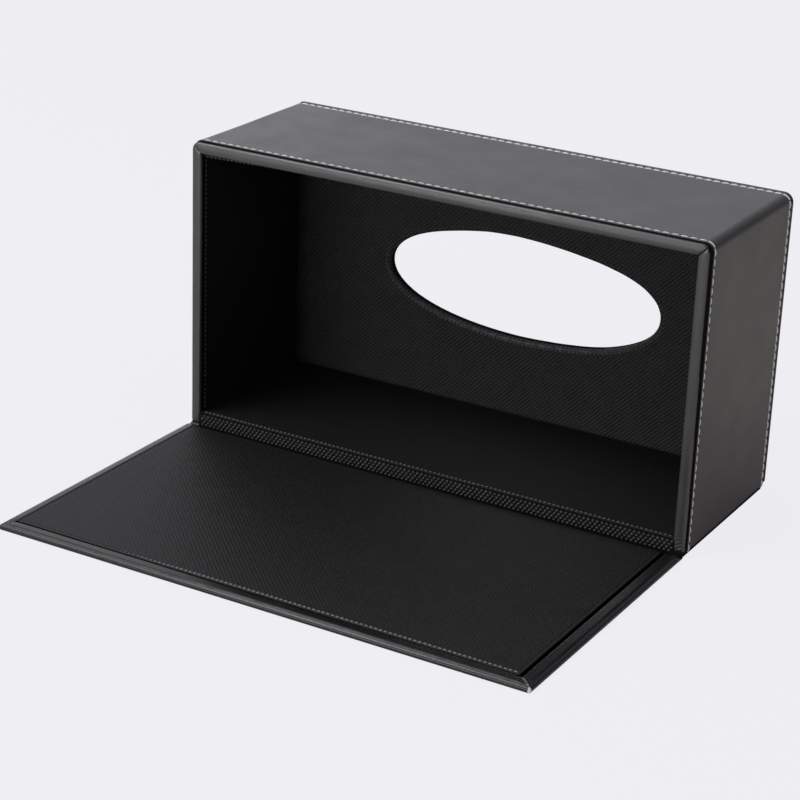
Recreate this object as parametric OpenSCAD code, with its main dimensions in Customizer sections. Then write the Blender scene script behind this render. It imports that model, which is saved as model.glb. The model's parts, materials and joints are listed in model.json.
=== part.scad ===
// Leather-covered tissue box cover with a hinged flap.
// It lies on one long wall, over a thin base panel, with the flap open flat
// in front of it. Base panel and flap are two boards in one leather cover.
// X runs along its length, Y from the flap to the back, Z up. The origin
// is under the middle of the whole footprint, on the surface it lies on.

/* [Box] */
// Length of the box
box_l = 250; // [180:1:320]
// Height of the box as it lies, with its base panel
box_h = 137; // [110:1:170]
// Depth of the box from its rim to its back
box_d = 88; // [60:1:130]
// Radius of the leather over the long edges
edge_r = 4.5; // [3.2:0.1:5]
// Radius of the leather over the two lower long edges
low_edge_r = 1.4; // [1.2:0.1:2]

/* [Walls] */
// Thickness of the grey board in the walls
board_t = 3; // [2.2:0.1:4]
// Thickness of the leather on the walls
leather_t = 0.9; // [0.6:0.1:1.2]
// Thickness of the fabric-covered lining card
lining_t = 1.1; // [0.8:0.1:2]
// Radius of a folded leather edge
fold_r = 0.5; // [0.3:0.1:0.6]

/* [Rim] */
// Thickness of the padded binding in front of the board edges
rim_t = 1.2; // [0.9:0.1:2]
// How far the binding reaches back along the outside of a wall
rim_reach = 3; // [2:0.1:6]
// Step from the sleeve down to the binding beside it
rim_step = 0.35; // [0.2:0.05:0.4]
// Height of the padded crown across the binding
rim_crown = 0.3; // [0.1:0.05:0.5]
// Width of the back cover's turned edge on the walls
back_turn = 2; // [1.5:0.1:5]
// Radius of the back cover's own outer edge
back_edge_r = 0.7; // [0.4:0.1:0.8]

/* [Tissue slot] */
// Width of the oval slot
slot_w = 140; // [100:1:170]
// Height of the oval slot
slot_h = 50; // [36:1:70]
// Fullness of the oval, where 2 is an ellipse and more is squarer
slot_fullness = 2.1; // [2:0.05:3]
// How far the slot sits above the middle of the back
slot_rise = 0; // [-10:0.5:10]

/* [Base panel and flap] */
// Thickness of the board in the base panel and in the flap
panel_board_t = 1.4; // [1.4:0.1:3]
// Thickness of the leather round both boards
panel_leather_t = 0.8; // [0.6:0.1:1]
// How far the base panel's edges stand in from the box's
base_inset = 1.2; // [0.5:0.1:3]
// How far the flap's side edges stand in from the box's
flap_inset = 0.4; // [0:0.1:2]
// Thickness of the flap's lining
flap_lining_t = 0.7; // [0.4:0.1:0.8]
// Width of the leather hem round the lining
hem_w = 6.5; // [4:0.1:12]
// Radius of the hem's upper outer edge
hem_r = 1.2; // [0.6:0.1:1.5]
// Radius of the hem's inner and lower edges
hem_end_r = 0.4; // [0.2:0.1:0.5]
// Groove between the hem and the lining
hem_groove = 0.5; // [0.3:0.1:1.5]
// How far the closed flap stops short of the top of the box
flap_top_gap = 1.5; // [0.5:0.1:5]

/* [Hinge] */
// Height of the fold line in the hinge leather
fold_z = 0.45; // [0.3:0.05:0.6]
// Distance from the fold line to the flap's rear edge
fold_to_flap = 1.2; // [0.6:0.1:3]
// Air between the closed flap and the rim
shut_gap = 0.4; // [0.3:0.05:1]
// Thickness of the fabric over the hinge and up the floor's front edge
fabric_t = 0.6; // [0.4:0.1:0.8]
// How far that fabric ends below the floor
lip_drop = 0.4; // [0.2:0.1:1]
// Groove between that fabric and the floor lining
lip_groove = 0.5; // [0.3:0.1:1.5]

/* [Magnets] */
// Length of a bar magnet
magnet_l = 12; // [8:1:20]
// Width of a bar magnet
magnet_w = 2; // [1.5:0.1:2]
// Depth of a box magnet into the edge of a side board
box_magnet_d = 3; // [2:0.5:6]
// Thickness of a flap magnet
flap_magnet_t = 1.2; // [1:0.1:1.2]
// Distance of the magnets' middle below the top of the box
magnet_drop = 22; // [15:1:50]
// Clearance of a magnet in its pocket
magnet_clear = 0.1; // [0.05:0.05:0.2]

/* [Hidden] */
$fn = 64;

leather_colour = "#3a393d";
fabric_colour = "#1d1c1f";
board_colour = "#9a9183";
magnet_colour = "#b9bcc2";
over = 1;                     // extra length on a cutting shape
seam = 0.05;                  // half of the gap where two mitred pieces meet

// Box
wall_t = leather_t + board_t + lining_t;
inside_l = box_l - 2 * wall_t;
board_in = leather_t + board_t;               // wall surface to the board's inner face
panel_t = 2 * panel_leather_t + panel_board_t;
floor_z = panel_t + wall_t;                   // the box stands on its base panel
inside_h = box_h - wall_t - floor_z;
sleeve_back = box_d - back_turn;
back_lining_d = box_d - wall_t;               // depths, measured from the rim
back_board_d = box_d - leather_t - board_t;
back_leather_d = box_d - leather_t;
top_half = box_l / 2 - edge_r;                // half of the flat on the top
low_half = box_l / 2 - low_edge_r;            // half of the flat under the box
base_half = box_l / 2 - base_inset;
base_back = box_d - base_inset;
flap_half = box_l / 2 - flap_inset;

// Flap, folded shut about the line (hinge_d in front of the rim, fold_z up)
hinge_d = panel_t - fold_z + shut_gap;
flap_rear = hinge_d + fold_to_flap;
flap_l = box_h - flap_top_gap - fold_z - fold_to_flap;
flap_reach = flap_rear + flap_l;
rim_y = (flap_reach - box_d) / 2;             // centres the footprint on the origin

// Magnets, which meet when the flap is shut
magnet_x = box_l / 2 - leather_t - board_t / 2;
magnet_z = box_h - magnet_drop;
flap_magnet_d = hinge_d + magnet_z - fold_z;

// Slot
slot_z = (panel_t + box_h) / 2 + slot_rise;
slot_points = 96;

// ---- Placing drawings ----

// Extrudes a drawing of X and Z from depth d0 to depth d1 behind the rim
module through(d0, d1)
    translate([0, rim_y + d1, 0]) rotate([90, 0, 0]) linear_extrude(d1 - d0) children();

// A plain slab between two corners, with its depths measured from the rim
module slab(x0, x1, d0, d1, z0, z1)
    translate([x0, rim_y + d0, z0]) cube([x1 - x0, d1 - d0, z1 - z0]);

module on_both_sides() {
    children();
    mirror([1, 0, 0]) children();
}

// ---- Outlines ----

// The box's outline seen from the front, drawn in by some distance
module outline(inset) {
    low_z = panel_t + low_edge_r;
    translate([-top_half, panel_t + inset])
        square([2 * top_half, box_h - panel_t - 2 * inset]);
    translate([-low_half, panel_t + inset]) square([2 * low_half, edge_r]);
    translate([-box_l / 2 + inset, low_z]) square([box_l - 2 * inset, box_h - edge_r - low_z]);
    for (side = [-1, 1]) {
        translate([side * top_half, box_h - edge_r]) circle(edge_r - inset);
        translate([side * low_half, low_z]) circle(low_edge_r - inset);
    }
}

// How far out an oval of half-width 1 reaches at some angle's cosine or sine
function oval_share(c) = sign(c) * abs(c) ^ (2 / slot_fullness);

// The slot's outline, grown by some distance
module slot_outline(grow)
    translate([0, slot_z]) polygon([for (i = [0:slot_points - 1])
        let (angle = 360 * i / slot_points)
        [(slot_w / 2 + grow) * oval_share(cos(angle)),
         (slot_h / 2 + grow) * oval_share(sin(angle))]]);

// A strip drawn inward from a wall's surface, with both outer edges rounded
module folded_strip(d0, d1, thickness, r0, r1) {
    translate([0, d0 + r0]) square([thickness, d1 - d0 - r0 - r1]);
    translate([r0, d0]) square([thickness - r0, r0]);
    translate([r0, d0 + r0]) intersection() {
        circle(r0);
        translate([-r0, -r0]) square(r0);
    }
    translate([r1, d1 - r1]) square([thickness - r1, r1]);
    translate([r1, d1 - r1]) intersection() {
        circle(r1);
        translate([-r1, 0]) square(r1);
    }
}

// ---- Sweeping a section round the box ----
// A section is drawn with its first axis inward from the wall's surface
// and its second axis backward from the rim.

module side_run(z0, z1)
    translate([-box_l / 2, rim_y, z0]) linear_extrude(z1 - z0) children();

module top_run(x0, x1)
    translate([x0, rim_y, box_h]) rotate([0, 90, 0]) linear_extrude(x1 - x0) children();

module low_run()
    translate([-low_half, rim_y, panel_t]) mirror([0, 0, 1])
        rotate([0, 90, 0]) linear_extrude(2 * low_half) children();

// Quarter turn over the left end of the top
module top_left_corner()
    translate([-top_half, rim_y, box_h - edge_r])
        rotate([-90, 0, 0]) rotate_extrude(angle = 90, start = 180)
            translate([edge_r, 0]) mirror([1, 0]) children();

// Quarter turn under the left wall
module low_left_corner()
    translate([-low_half, rim_y, panel_t + low_edge_r])
        rotate([-90, 0, 0]) rotate_extrude(angle = 90, start = 90)
            translate([low_edge_r, 0]) mirror([1, 0]) children();

// All the way round
module sweep_round() {
    on_both_sides() {
        side_run(panel_t + low_edge_r, box_h - edge_r) children();
        top_left_corner() children();
        low_left_corner() children();
    }
    top_run(-top_half, top_half) children();
    low_run() children();
}

// ---- Boards ----

module wall_board(d0)
    through(d0, back_board_d) intersection() {
        outline(leather_t);
        children();
    }

module top_board() color(board_colour)
    wall_board(rim_t) translate([-box_l / 2, box_h - board_in]) square([box_l, board_in]);

// Its front edge stands further forward between the side bindings
module bottom_board() color(board_colour) difference() {
    wall_board(fabric_t) translate([-box_l / 2, 0]) square([box_l, panel_t + board_in]);
    on_both_sides() slab(inside_l / 2, box_l / 2, 0, rim_t, panel_t, floor_z);
}

module left_board() color(board_colour)
    difference() {
        wall_board(rim_t) translate([-box_l / 2, panel_t + board_in])
            square([board_in, box_h - panel_t - 2 * board_in]);
        box_magnet_shape(magnet_clear, over);
    }

module right_board() mirror([1, 0, 0]) left_board();

module back_board() color(board_colour)
    through(back_board_d, back_leather_d) difference() {
        outline(leather_t);
        slot_outline(leather_t);
    }

// The whole board of the base panel, under the box
module base_board() color(board_colour)
    slab(-base_half + panel_leather_t, base_half - panel_leather_t,
        fabric_t, base_back - panel_leather_t,
        panel_leather_t, panel_leather_t + panel_board_t);

// ---- Leather ----

// One strip round the box, its edges folded under on the top and the sides.
// Under the floor it goes on to the front.
module sleeve_leather() color(leather_colour) {
    sweep_round() folded_strip(rim_reach, sleeve_back, leather_t, fold_r, fold_r);
    slab(-low_half, low_half, rim_t, rim_reach + fold_r, panel_t, panel_t + leather_t);
    slab(-inside_l / 2, inside_l / 2, fabric_t, rim_reach + fold_r, panel_t, panel_t + leather_t);
}

// Round the base board. Its front is left open between the side walls for
// the fabric that covers it.
module base_leather() color(leather_colour) difference() {
    through(0, base_back) {
        translate([-base_half, hem_end_r]) square([2 * base_half, panel_t - 2 * hem_end_r]);
        translate([-base_half + hem_end_r, 0]) square([2 * (base_half - hem_end_r), panel_t]);
        for (side = [-1, 1], z = [hem_end_r, panel_t - hem_end_r])
            translate([side * (base_half - hem_end_r), z]) circle(hem_end_r);
    }
    base_board();
    slab(-inside_l / 2, inside_l / 2, -over, fabric_t, panel_leather_t, panel_t + over);
}

// Over the back, turned on to the walls and through the slot
module back_leather() color(leather_colour) {
    sweep_round() folded_strip(sleeve_back, box_d, leather_t, fold_r, back_edge_r);
    through(back_leather_d, box_d) difference() {
        outline(leather_t);
        slot_outline(0);
    }
    through(back_lining_d, back_leather_d) difference() {
        slot_outline(leather_t);
        slot_outline(0);
    }
}

// ---- Rim binding: padded leather over the front edges of three walls ----

// The binding's section: a crowned front, rounded into a thin outer flank
module binding_section() {
    crown_r = wall_t^2 / (8 * rim_crown) + rim_crown / 2;
    intersection() {
        union() {
            translate([rim_step + rim_t, 0]) square([wall_t - rim_step - rim_t - fold_r, rim_t]);
            translate([wall_t - fold_r, fold_r]) square([fold_r, rim_t - fold_r]);
            translate([wall_t - fold_r, fold_r]) circle(fold_r);
            translate([rim_step + rim_t, rim_t]) intersection() {
                circle(rim_t);
                translate([-rim_t, -rim_t]) square(rim_t);
            }
        }
        translate([wall_t / 2, crown_r]) circle(crown_r);
    }
    translate([rim_step, rim_t]) square([leather_t - rim_step, rim_reach - rim_t]);
}

// The part of the section that turns a corner of radius r, or the rest of it
module section_part(r, outer) intersection() {
    binding_section();
    translate([outer ? 0 : r, -over]) square([outer ? r : wall_t, rim_reach + 2 * over]);
}

// Keeps what lies between the two mitres of the top, or outside one of them
module mitre_top() intersection() {
    children();
    through(-over, rim_reach + over) polygon([
        [-inside_l / 2 + seam, box_h - wall_t], [inside_l / 2 - seam, box_h - wall_t],
        [box_l / 2 + over - seam, box_h + over], [-box_l / 2 - over + seam, box_h + over]]);
}

module mitre_left() intersection() {
    children();
    through(-over, rim_reach + over) polygon([
        [-box_l / 2 - over, panel_t], [-inside_l / 2, panel_t],
        [-inside_l / 2, box_h - wall_t - seam], [-box_l / 2 - over, box_h + over - seam]]);
}

module rim_binding_top() color(leather_colour) mitre_top() {
    top_run(-top_half, top_half) binding_section();
    on_both_sides() {
        top_left_corner() section_part(edge_r, true);
        if (wall_t > edge_r)
            top_run(-box_l / 2, -top_half) section_part(edge_r, false);
    }
}

module rim_binding_left() color(leather_colour) mitre_left() {
    side_run(panel_t + low_edge_r, box_h - edge_r) binding_section();
    top_left_corner() section_part(edge_r, true);
    if (wall_t > edge_r)
        side_run(box_h - edge_r, box_h) section_part(edge_r, false);
    low_left_corner() section_part(low_edge_r, true);
    side_run(panel_t, panel_t + low_edge_r) section_part(low_edge_r, false);
}

module rim_binding_right() mirror([1, 0, 0]) rim_binding_left();

// ---- Lining ----

module lining_back() color(fabric_colour)
    through(back_lining_d, back_board_d) difference() {
        translate([-inside_l / 2 - lining_t, floor_z - lining_t])
            square([inside_l + 2 * lining_t, inside_h + 2 * lining_t]);
        slot_outline(leather_t);
    }

module lining_top() color(fabric_colour)
    slab(-inside_l / 2 - lining_t, inside_l / 2 + lining_t,
        rim_t, back_lining_d, box_h - wall_t, box_h - board_in);

module lining_bottom() color(fabric_colour)
    slab(-inside_l / 2 - lining_t, inside_l / 2 + lining_t,
        fabric_t + lip_groove, back_lining_d, floor_z - lining_t, floor_z);

module lining_left() color(fabric_colour)
    slab(-inside_l / 2 - lining_t, -inside_l / 2, rim_t, back_lining_d, floor_z, box_h - wall_t);

module lining_right() mirror([1, 0, 0]) lining_left();

// ---- Hinge ----

// Fabric up the front edges of the base panel and the floor, its top rounded
module lip_fabric() color(fabric_colour)
    translate([-inside_l / 2, rim_y, 0]) rotate([90, 0, 90]) linear_extrude(inside_l) {
        top = floor_z - lip_drop;
        translate([0, panel_leather_t])
            square([fabric_t, top - fabric_t - panel_leather_t]);
        translate([fabric_t, top - fabric_t]) intersection() {
            circle(fabric_t);
            translate([-fabric_t, 0]) square(fabric_t);
        }
    }

// The strip of leather that bends
module hinge_leather() color(leather_colour)
    slab(-base_half, base_half, -flap_rear, 0, 0, panel_leather_t);

// The fabric that lies on it
module hinge_fabric() color(fabric_colour)
    slab(-inside_l / 2, inside_l / 2, -flap_rear, 0,
        panel_leather_t, panel_leather_t + fabric_t);

// ---- Flap ----

// Section of the flap's leather at an edge: under the board, round its edge
// and back over it. First axis inward from the edge, second axis up.
module hem_section() difference() {
    union() {
        translate([0, hem_end_r]) square([hem_w, panel_t - hem_end_r - hem_r]);
        translate([hem_end_r, 0]) square([hem_w - hem_end_r, hem_end_r]);
        translate([hem_end_r, hem_end_r]) circle(hem_end_r);
        translate([hem_r, panel_t - hem_r]) square([hem_w - hem_r - hem_end_r, hem_r]);
        translate([hem_r, panel_t - hem_r]) circle(hem_r);
        translate([hem_w - hem_end_r, panel_t - hem_r]) square([hem_end_r, hem_r - hem_end_r]);
        translate([hem_w - hem_end_r, panel_t - hem_end_r]) circle(hem_end_r);
    }
    translate([panel_leather_t, panel_leather_t]) square([hem_w, panel_board_t]);
}

// A hem along an edge of some length, mitred at one end or at both
module hem(length, both) intersection() {
    rotate([90, 0, 90]) linear_extrude(length) hem_section();
    linear_extrude(panel_t) polygon([
        [0, 0], [length, 0], [length - (both ? hem_w : 0), hem_w], [hem_w, hem_w]]);
}

// The whole leather of the flap: three mitred hems and the skin under the board
module flap_leather() color(leather_colour) {
    front = rim_y - flap_reach;
    translate([-flap_half, front, 0]) hem(2 * flap_half, true);
    on_both_sides()
        translate([-flap_half, front, 0]) mirror([1, -1, 0]) hem(flap_l, false);
    translate([-flap_half + hem_w - over, front + hem_w - over, 0])
        cube([2 * (flap_half - hem_w + over), flap_l - hem_w + over, panel_leather_t]);
}

module flap_board() color(board_colour) difference() {
    slab(-flap_half + panel_leather_t, flap_half - panel_leather_t,
        -flap_reach + panel_leather_t, -flap_rear, panel_leather_t, panel_leather_t + panel_board_t);
    on_both_sides() flap_magnet_shape(magnet_clear, over);
}

module flap_lining() color(fabric_colour)
    slab(-flap_half + hem_w + hem_groove, flap_half - hem_w - hem_groove,
        -flap_reach + hem_w + hem_groove, -flap_rear,
        panel_t - panel_leather_t, panel_t - panel_leather_t + flap_lining_t);

// ---- Magnets ----

// A bar in the front edge of the left board
module box_magnet_shape(clear, open)
    slab(-magnet_x - magnet_w / 2 - clear, -magnet_x + magnet_w / 2 + clear,
        rim_t - open, rim_t + box_magnet_d + clear,
        magnet_z - magnet_l / 2 - clear, magnet_z + magnet_l / 2 + clear);

// A bar let into the top of the flap's board
module flap_magnet_shape(clear, open)
    slab(-magnet_x - magnet_w / 2 - clear, -magnet_x + magnet_w / 2 + clear,
        -flap_magnet_d - magnet_l / 2 - clear, -flap_magnet_d + magnet_l / 2 + clear,
        panel_leather_t + panel_board_t - flap_magnet_t - clear,
        panel_leather_t + panel_board_t + open);

module box_magnet_left() color(magnet_colour) box_magnet_shape(0, 0);
module box_magnet_right() mirror([1, 0, 0]) box_magnet_left();
module flap_magnet_left() color(magnet_colour) flap_magnet_shape(0, 0);
module flap_magnet_right() mirror([1, 0, 0]) flap_magnet_left();

base_board();
back_board();
top_board();
bottom_board();
left_board();
right_board();
sleeve_leather();
base_leather();
back_leather();
rim_binding_top();
rim_binding_left();
rim_binding_right();
lining_back();
lining_top();
lining_bottom();
lining_left();
lining_right();
lip_fabric();
hinge_leather();
hinge_fabric();
box_magnet_left();
box_magnet_right();
flap_board();
flap_leather();
flap_lining();
flap_magnet_left();
flap_magnet_right();
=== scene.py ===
# %% [markdown]
# # A leather-covered tissue box cover with a hinged flap
# The cover lies on one long wall, on a thin base panel, with its flap open flat in
# front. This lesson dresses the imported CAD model: every piece is built in the CAD's
# own frame, in metres, and rides on the CAD body it belongs to. Sizes below are
# written in millimetres, as a bag maker would measure them, and turned into metres
# in one place.

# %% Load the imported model
import json
import math
from collections import namedtuple
from functools import partial

import bmesh
import bpy
import numpy as np
from mathutils import Matrix, Vector

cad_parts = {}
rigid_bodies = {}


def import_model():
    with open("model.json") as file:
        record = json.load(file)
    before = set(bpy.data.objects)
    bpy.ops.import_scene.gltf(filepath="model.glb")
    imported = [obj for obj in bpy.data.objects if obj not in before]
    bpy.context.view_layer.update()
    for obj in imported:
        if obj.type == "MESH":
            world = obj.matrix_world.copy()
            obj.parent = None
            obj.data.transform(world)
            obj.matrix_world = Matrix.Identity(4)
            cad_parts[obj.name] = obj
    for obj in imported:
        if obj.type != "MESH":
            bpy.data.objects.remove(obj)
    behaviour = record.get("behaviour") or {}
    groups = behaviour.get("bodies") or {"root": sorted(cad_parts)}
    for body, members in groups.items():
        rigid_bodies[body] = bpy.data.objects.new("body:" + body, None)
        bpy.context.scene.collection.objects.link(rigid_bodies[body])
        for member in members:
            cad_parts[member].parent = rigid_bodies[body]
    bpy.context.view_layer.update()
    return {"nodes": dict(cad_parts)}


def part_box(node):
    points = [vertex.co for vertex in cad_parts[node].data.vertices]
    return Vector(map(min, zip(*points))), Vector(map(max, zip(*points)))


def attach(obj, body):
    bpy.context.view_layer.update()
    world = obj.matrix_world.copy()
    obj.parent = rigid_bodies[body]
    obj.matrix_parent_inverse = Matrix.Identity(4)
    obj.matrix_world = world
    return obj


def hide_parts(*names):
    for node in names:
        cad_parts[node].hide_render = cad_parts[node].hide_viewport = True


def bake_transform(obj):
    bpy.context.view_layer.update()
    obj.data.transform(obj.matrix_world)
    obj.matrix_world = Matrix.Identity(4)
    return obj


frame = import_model()
scene = bpy.context.scene
MM = 0.001

HALF = 125.0                    # half of the box's length
RIM_Y = 25.0                    # the open side
BACK_Y = 113.0                  # the outside of the back
TOP = 137.0
BASE_T = 3.0                    # the base panel under the box
FLOOR = 8.0
WALL = 5.0
TOP_R, LOW_R = 4.5, 1.4         # bends of the leather, over the top and under
HANG_Z, HANG_R = 2.2, 0.5       # the sleeve hangs down to here beside the base panel
SLOT_Z, SLOT_A, SLOT_B, SLOT_POWER = 70.0, 70.0, 25.0, 2.1
FLAP_FRONT, FLAP_REAR, FLAP_HALF, FLAP_T = -113.0, 20.85, 124.6, 3.0
PANEL_HALF, PANEL_BACK = 123.8, 111.8
DOT_PITCH = 2.14                # between the pressed dots of the cloth
for name in ("sleeve_leather", "flap_leather", "base_leather"):
    low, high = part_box(name)
    print(name, [round(v / MM, 2) for v in (*low, *high)])

# %% [markdown]
# ## The camera first
# The camera stands where it stood for the reference: slightly above, to the right of
# the open side, and turned by about two degrees. A perspective fit to the box's long
# straight edges gave its place. Setting it first means that every later piece can be
# judged in the same frame.

# %% The camera
FOCAL_PX, FRAME_PX, SENSOR = 2314.76, 800, 36
AZIMUTH, ELEVATION, ROLL = 29.591, 21.878, 2.205
TARGET, DISTANCE = Vector((-13.31, RIM_Y, 38.95)), 1008.17


def placed(name, data):
    """An object in the scene, made of a mesh, a lamp or a camera."""
    made = bpy.data.objects.new(name, data)
    scene.collection.objects.link(made)
    return made


def place_camera():
    az, el, roll = (math.radians(a) for a in (AZIMUTH, ELEVATION, ROLL))
    back = Vector((math.sin(az) * math.cos(el), -math.cos(az) * math.cos(el), math.sin(el)))
    right = (-back).cross(Vector((0, 0, 1))).normalized()
    up = right.cross(-back)
    right, up = (right * math.cos(roll) + up * math.sin(roll),
                 up * math.cos(roll) - right * math.sin(roll))
    data = bpy.data.cameras.new("camera")
    data.sensor_width = SENSOR
    data.lens = FOCAL_PX * SENSOR / FRAME_PX
    data.clip_start, data.clip_end = 0.01, 20
    camera = placed("camera", data)
    turn = Matrix((right, up, back)).transposed().to_4x4()
    camera.matrix_world = Matrix.Translation((TARGET + back * DISTANCE) * MM) @ turn
    scene.camera = camera
    print("camera at", [round(v, 3) for v in camera.matrix_world.translation],
          "lens", round(data.lens, 1))


place_camera()

# %% [markdown]
# ## Helpers for nodes
# The room, the finishes and the repeated stitches are all node trees. A node is made,
# set and wired in one call, so a tree below reads from top to bottom like a recipe.
# A new tree gets named inputs, each given by its default value or by its kind.

# %% Node helpers
def fill(tree, socket, value):
    """Links a socket, or sets its value. A node stands for its first output, and a
    colour may leave out its alpha."""
    if isinstance(value, bpy.types.Node):
        value = value.outputs[0]
    if isinstance(value, bpy.types.NodeSocket):
        tree.links.new(value, socket)
    else:
        socket.default_value = (*value[:3], 1) if socket.type == "RGBA" else value


def node(tree, kind, inputs=(), **settings):
    """A node with some settings, and its inputs linked or filled."""
    made = tree.nodes.new(kind)
    for key, value in settings.items():
        setattr(made, key, value)
    for key, value in dict(inputs).items():
        fill(tree, made.inputs[key], value)
    return made


def maths(tree, operation, *values, **settings):
    return node(tree, "ShaderNodeMath", dict(enumerate(values)), operation=operation, **settings)


def blend(tree, share, first, second):
    """A colour between two colours."""
    return node(tree, "ShaderNodeMix", {0: share, 6: first, 7: second}, data_type="RGBA").outputs[2]


def new_tree(name, kind, inputs, outputs):
    """A node tree, the sockets of its inputs and those of its outputs."""
    tree = bpy.data.node_groups.new(name, kind)
    for label, value in inputs.items():
        sort = value if isinstance(value, str) else "Int" if type(value) is int else "Float"
        socket = tree.interface.new_socket(label, in_out="INPUT", socket_type="NodeSocket" + sort)
        if value is not sort:
            socket.default_value = value
    for label, sort in outputs.items():
        tree.interface.new_socket(label, in_out="OUTPUT", socket_type="NodeSocket" + sort)
    given, out = tree.nodes.new("NodeGroupInput"), tree.nodes.new("NodeGroupOutput")
    return tree, given.outputs, out.inputs


# %% [markdown]
# ## Light, floor and backdrop
# Black leather shows almost no colour of its own. What we see on it is the room
# mirrored softly, so the light is an even, pale room with three soft lamps: a large
# one above on the left, a wide low one in front, and a weak one behind. The leather
# mirrors a room that is pale on the left and falls off to the right, so each wall has
# its own tone. The floor shows itself as a plain pale tone, and keeps a faint shadow.

# %% Lamps
BACKDROP = (0.866, 0.858, 0.896)
AROUND = (0.50, 0.50, 0.51)                                 # what lights matt surfaces
MIRRORED_LEFT, MIRRORED_RIGHT = (0.96, 0.95, 1.02), (0.13, 0.13, 0.15)
FLOOR_MATT, FLOOR_TONE, FLOOR_SHARE = (0.76, 0.705, 0.69), (0.882, 0.874, 0.916), 0.93
FLOOR_HALF = 6                                              # metres

for name, place, aim, size, watts in (
        ("key_lamp", (-0.75, -0.62, 1.32), (0, 0.0, 0.03), (0.75, 0.75), 11),
        ("low_fill_lamp", (-0.45, -1.68, 0.27), (0.0, 0.1, 0.08), (0.9, 0.45), 7.5),
        ("back_left_lamp", (-1.10, 1.15, 0.50), (-0.12, 0.0, 0.08), (0.6, 0.6), 0.35)):
    data = bpy.data.lights.new(name, "AREA")
    data.shape, data.energy = "RECTANGLE", watts
    data.size, data.size_y = size
    lamp = placed(name, data)
    lamp.location = place
    lamp.rotation_euler = (Vector(aim) - Vector(place)).to_track_quat("-Z", "Y").to_euler()

# %% The room and its floor
world = bpy.data.worlds.new("pale_room")
scene.world = world
world.use_nodes = True
room = world.node_tree
rays = node(room, "ShaderNodeLightPath").outputs
way = node(room, "ShaderNodeSeparateXYZ", {
    0: node(room, "ShaderNodeTexCoord").outputs["Generated"]})
to_right = node(room, "ShaderNodeMapRange", {0: way, 1: -0.6, 2: 0.5})    # from 0 to 1
mirrored = blend(room, to_right, MIRRORED_LEFT, MIRRORED_RIGHT)
seen = blend(room, rays["Is Glossy Ray"], AROUND, mirrored)
seen = blend(room, rays["Is Camera Ray"], seen, BACKDROP)
fill(room, room.nodes["Background"].inputs["Color"], seen)


def pale_floor():
    mesh = bpy.data.meshes.new("floor")
    corners = [(x * FLOOR_HALF, y * FLOOR_HALF, 0) for x, y in ((-1, -1), (1, -1), (1, 1), (-1, 1))]
    mesh.from_pydata(corners, [], [(0, 1, 2, 3)])
    floor = placed("floor", mesh)
    material = bpy.data.materials.new("pale_floor")
    material.use_nodes = True
    tree = material.node_tree
    tree.nodes.clear()
    seen = node(tree, "ShaderNodeLightPath").outputs["Is Camera Ray"]
    mix = node(tree, "ShaderNodeMixShader", {
        0: maths(tree, "MULTIPLY", seen, FLOOR_SHARE),
        1: node(tree, "ShaderNodeBsdfDiffuse", {"Color": FLOOR_MATT}),
        2: node(tree, "ShaderNodeEmission", {"Color": FLOOR_TONE})})
    node(tree, "ShaderNodeOutputMaterial", {"Surface": mix})
    floor.data.materials.append(material)


pale_floor()
scene.view_settings.view_transform = "Standard"

# %% [markdown]
# ## Helpers for meshes
# Nearly every piece here is a profile swept along a path: a strip of leather bent
# round a box, a hem round a flap, a pad round a rim. A sweep gives a grid of points,
# and the grid closes into a shell. The helper merges doubled points, turns the faces
# outwards and shades the result smooth.

# %% Grid to mesh
def new_mesh(name, points, faces, marks=None):
    """A piece from points in mm. marks is a dict of point attributes, such as wear."""
    mesh = bpy.data.meshes.new(name)
    mesh.from_pydata((np.asarray(points, float) * MM).tolist(), [], faces)
    for label, values in (marks or {}).items():
        mesh.attributes.new(label, "FLOAT", "POINT").data.foreach_set(
            "value", np.asarray(values, np.float32))
    work = bmesh.new()
    work.from_mesh(mesh)
    bmesh.ops.remove_doubles(work, verts=work.verts, dist=0.004 * MM)
    bmesh.ops.dissolve_degenerate(work, edges=work.edges, dist=0.001 * MM)
    bmesh.ops.recalc_face_normals(work, faces=work.faces)
    work.to_mesh(mesh)
    work.free()
    mesh.polygons.foreach_set("use_smooth", [True] * len(mesh.polygons))
    return placed(name, mesh)


def grid_faces(rows, columns, rows_close=False, columns_close=False):
    faces = []
    for i in range(rows if rows_close else rows - 1):
        a, b = i * columns, (i + 1) % rows * columns
        for j in range(columns if columns_close else columns - 1):
            k = (j + 1) % columns
            faces.append((a + j, a + k, b + k, b + j))
    return faces


def loft(name, rings, marks=None):
    """Rings of equal length, joined one to the next into a closed shell."""
    n, m = rings.shape[:2]
    faces = grid_faces(n, m, False, True)
    faces += [tuple(range(m)), tuple(range((n - 1) * m, n * m))[::-1]]
    marks = {k: np.broadcast_to(v, (n, m)).ravel() for k, v in (marks or {}).items()}
    return new_mesh(name, rings.reshape(-1, 3), faces, marks)


# %% Drawing helpers
def arc(cx, cy, r, start, stop, count):
    """Points of a circular arc in a drawing, angles in degrees."""
    t = np.radians(np.linspace(start, stop, count))
    return [tuple(p) for p in np.stack([cx + r * np.cos(t), cy + r * np.sin(t)], 1)]


def dense(start, stop, step, spots, fine, reach):
    """Numbers from start to stop, closer together near some spots."""
    values = set(np.round(np.linspace(start, stop, max(2, int((stop - start) / step) + 1)), 4))
    for spot in spots:
        near = np.arange(spot - reach, spot + reach + fine / 2, fine)
        values |= set(np.round(near[(near > start) & (near < stop)], 4))
    return np.array(sorted(values))


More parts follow.
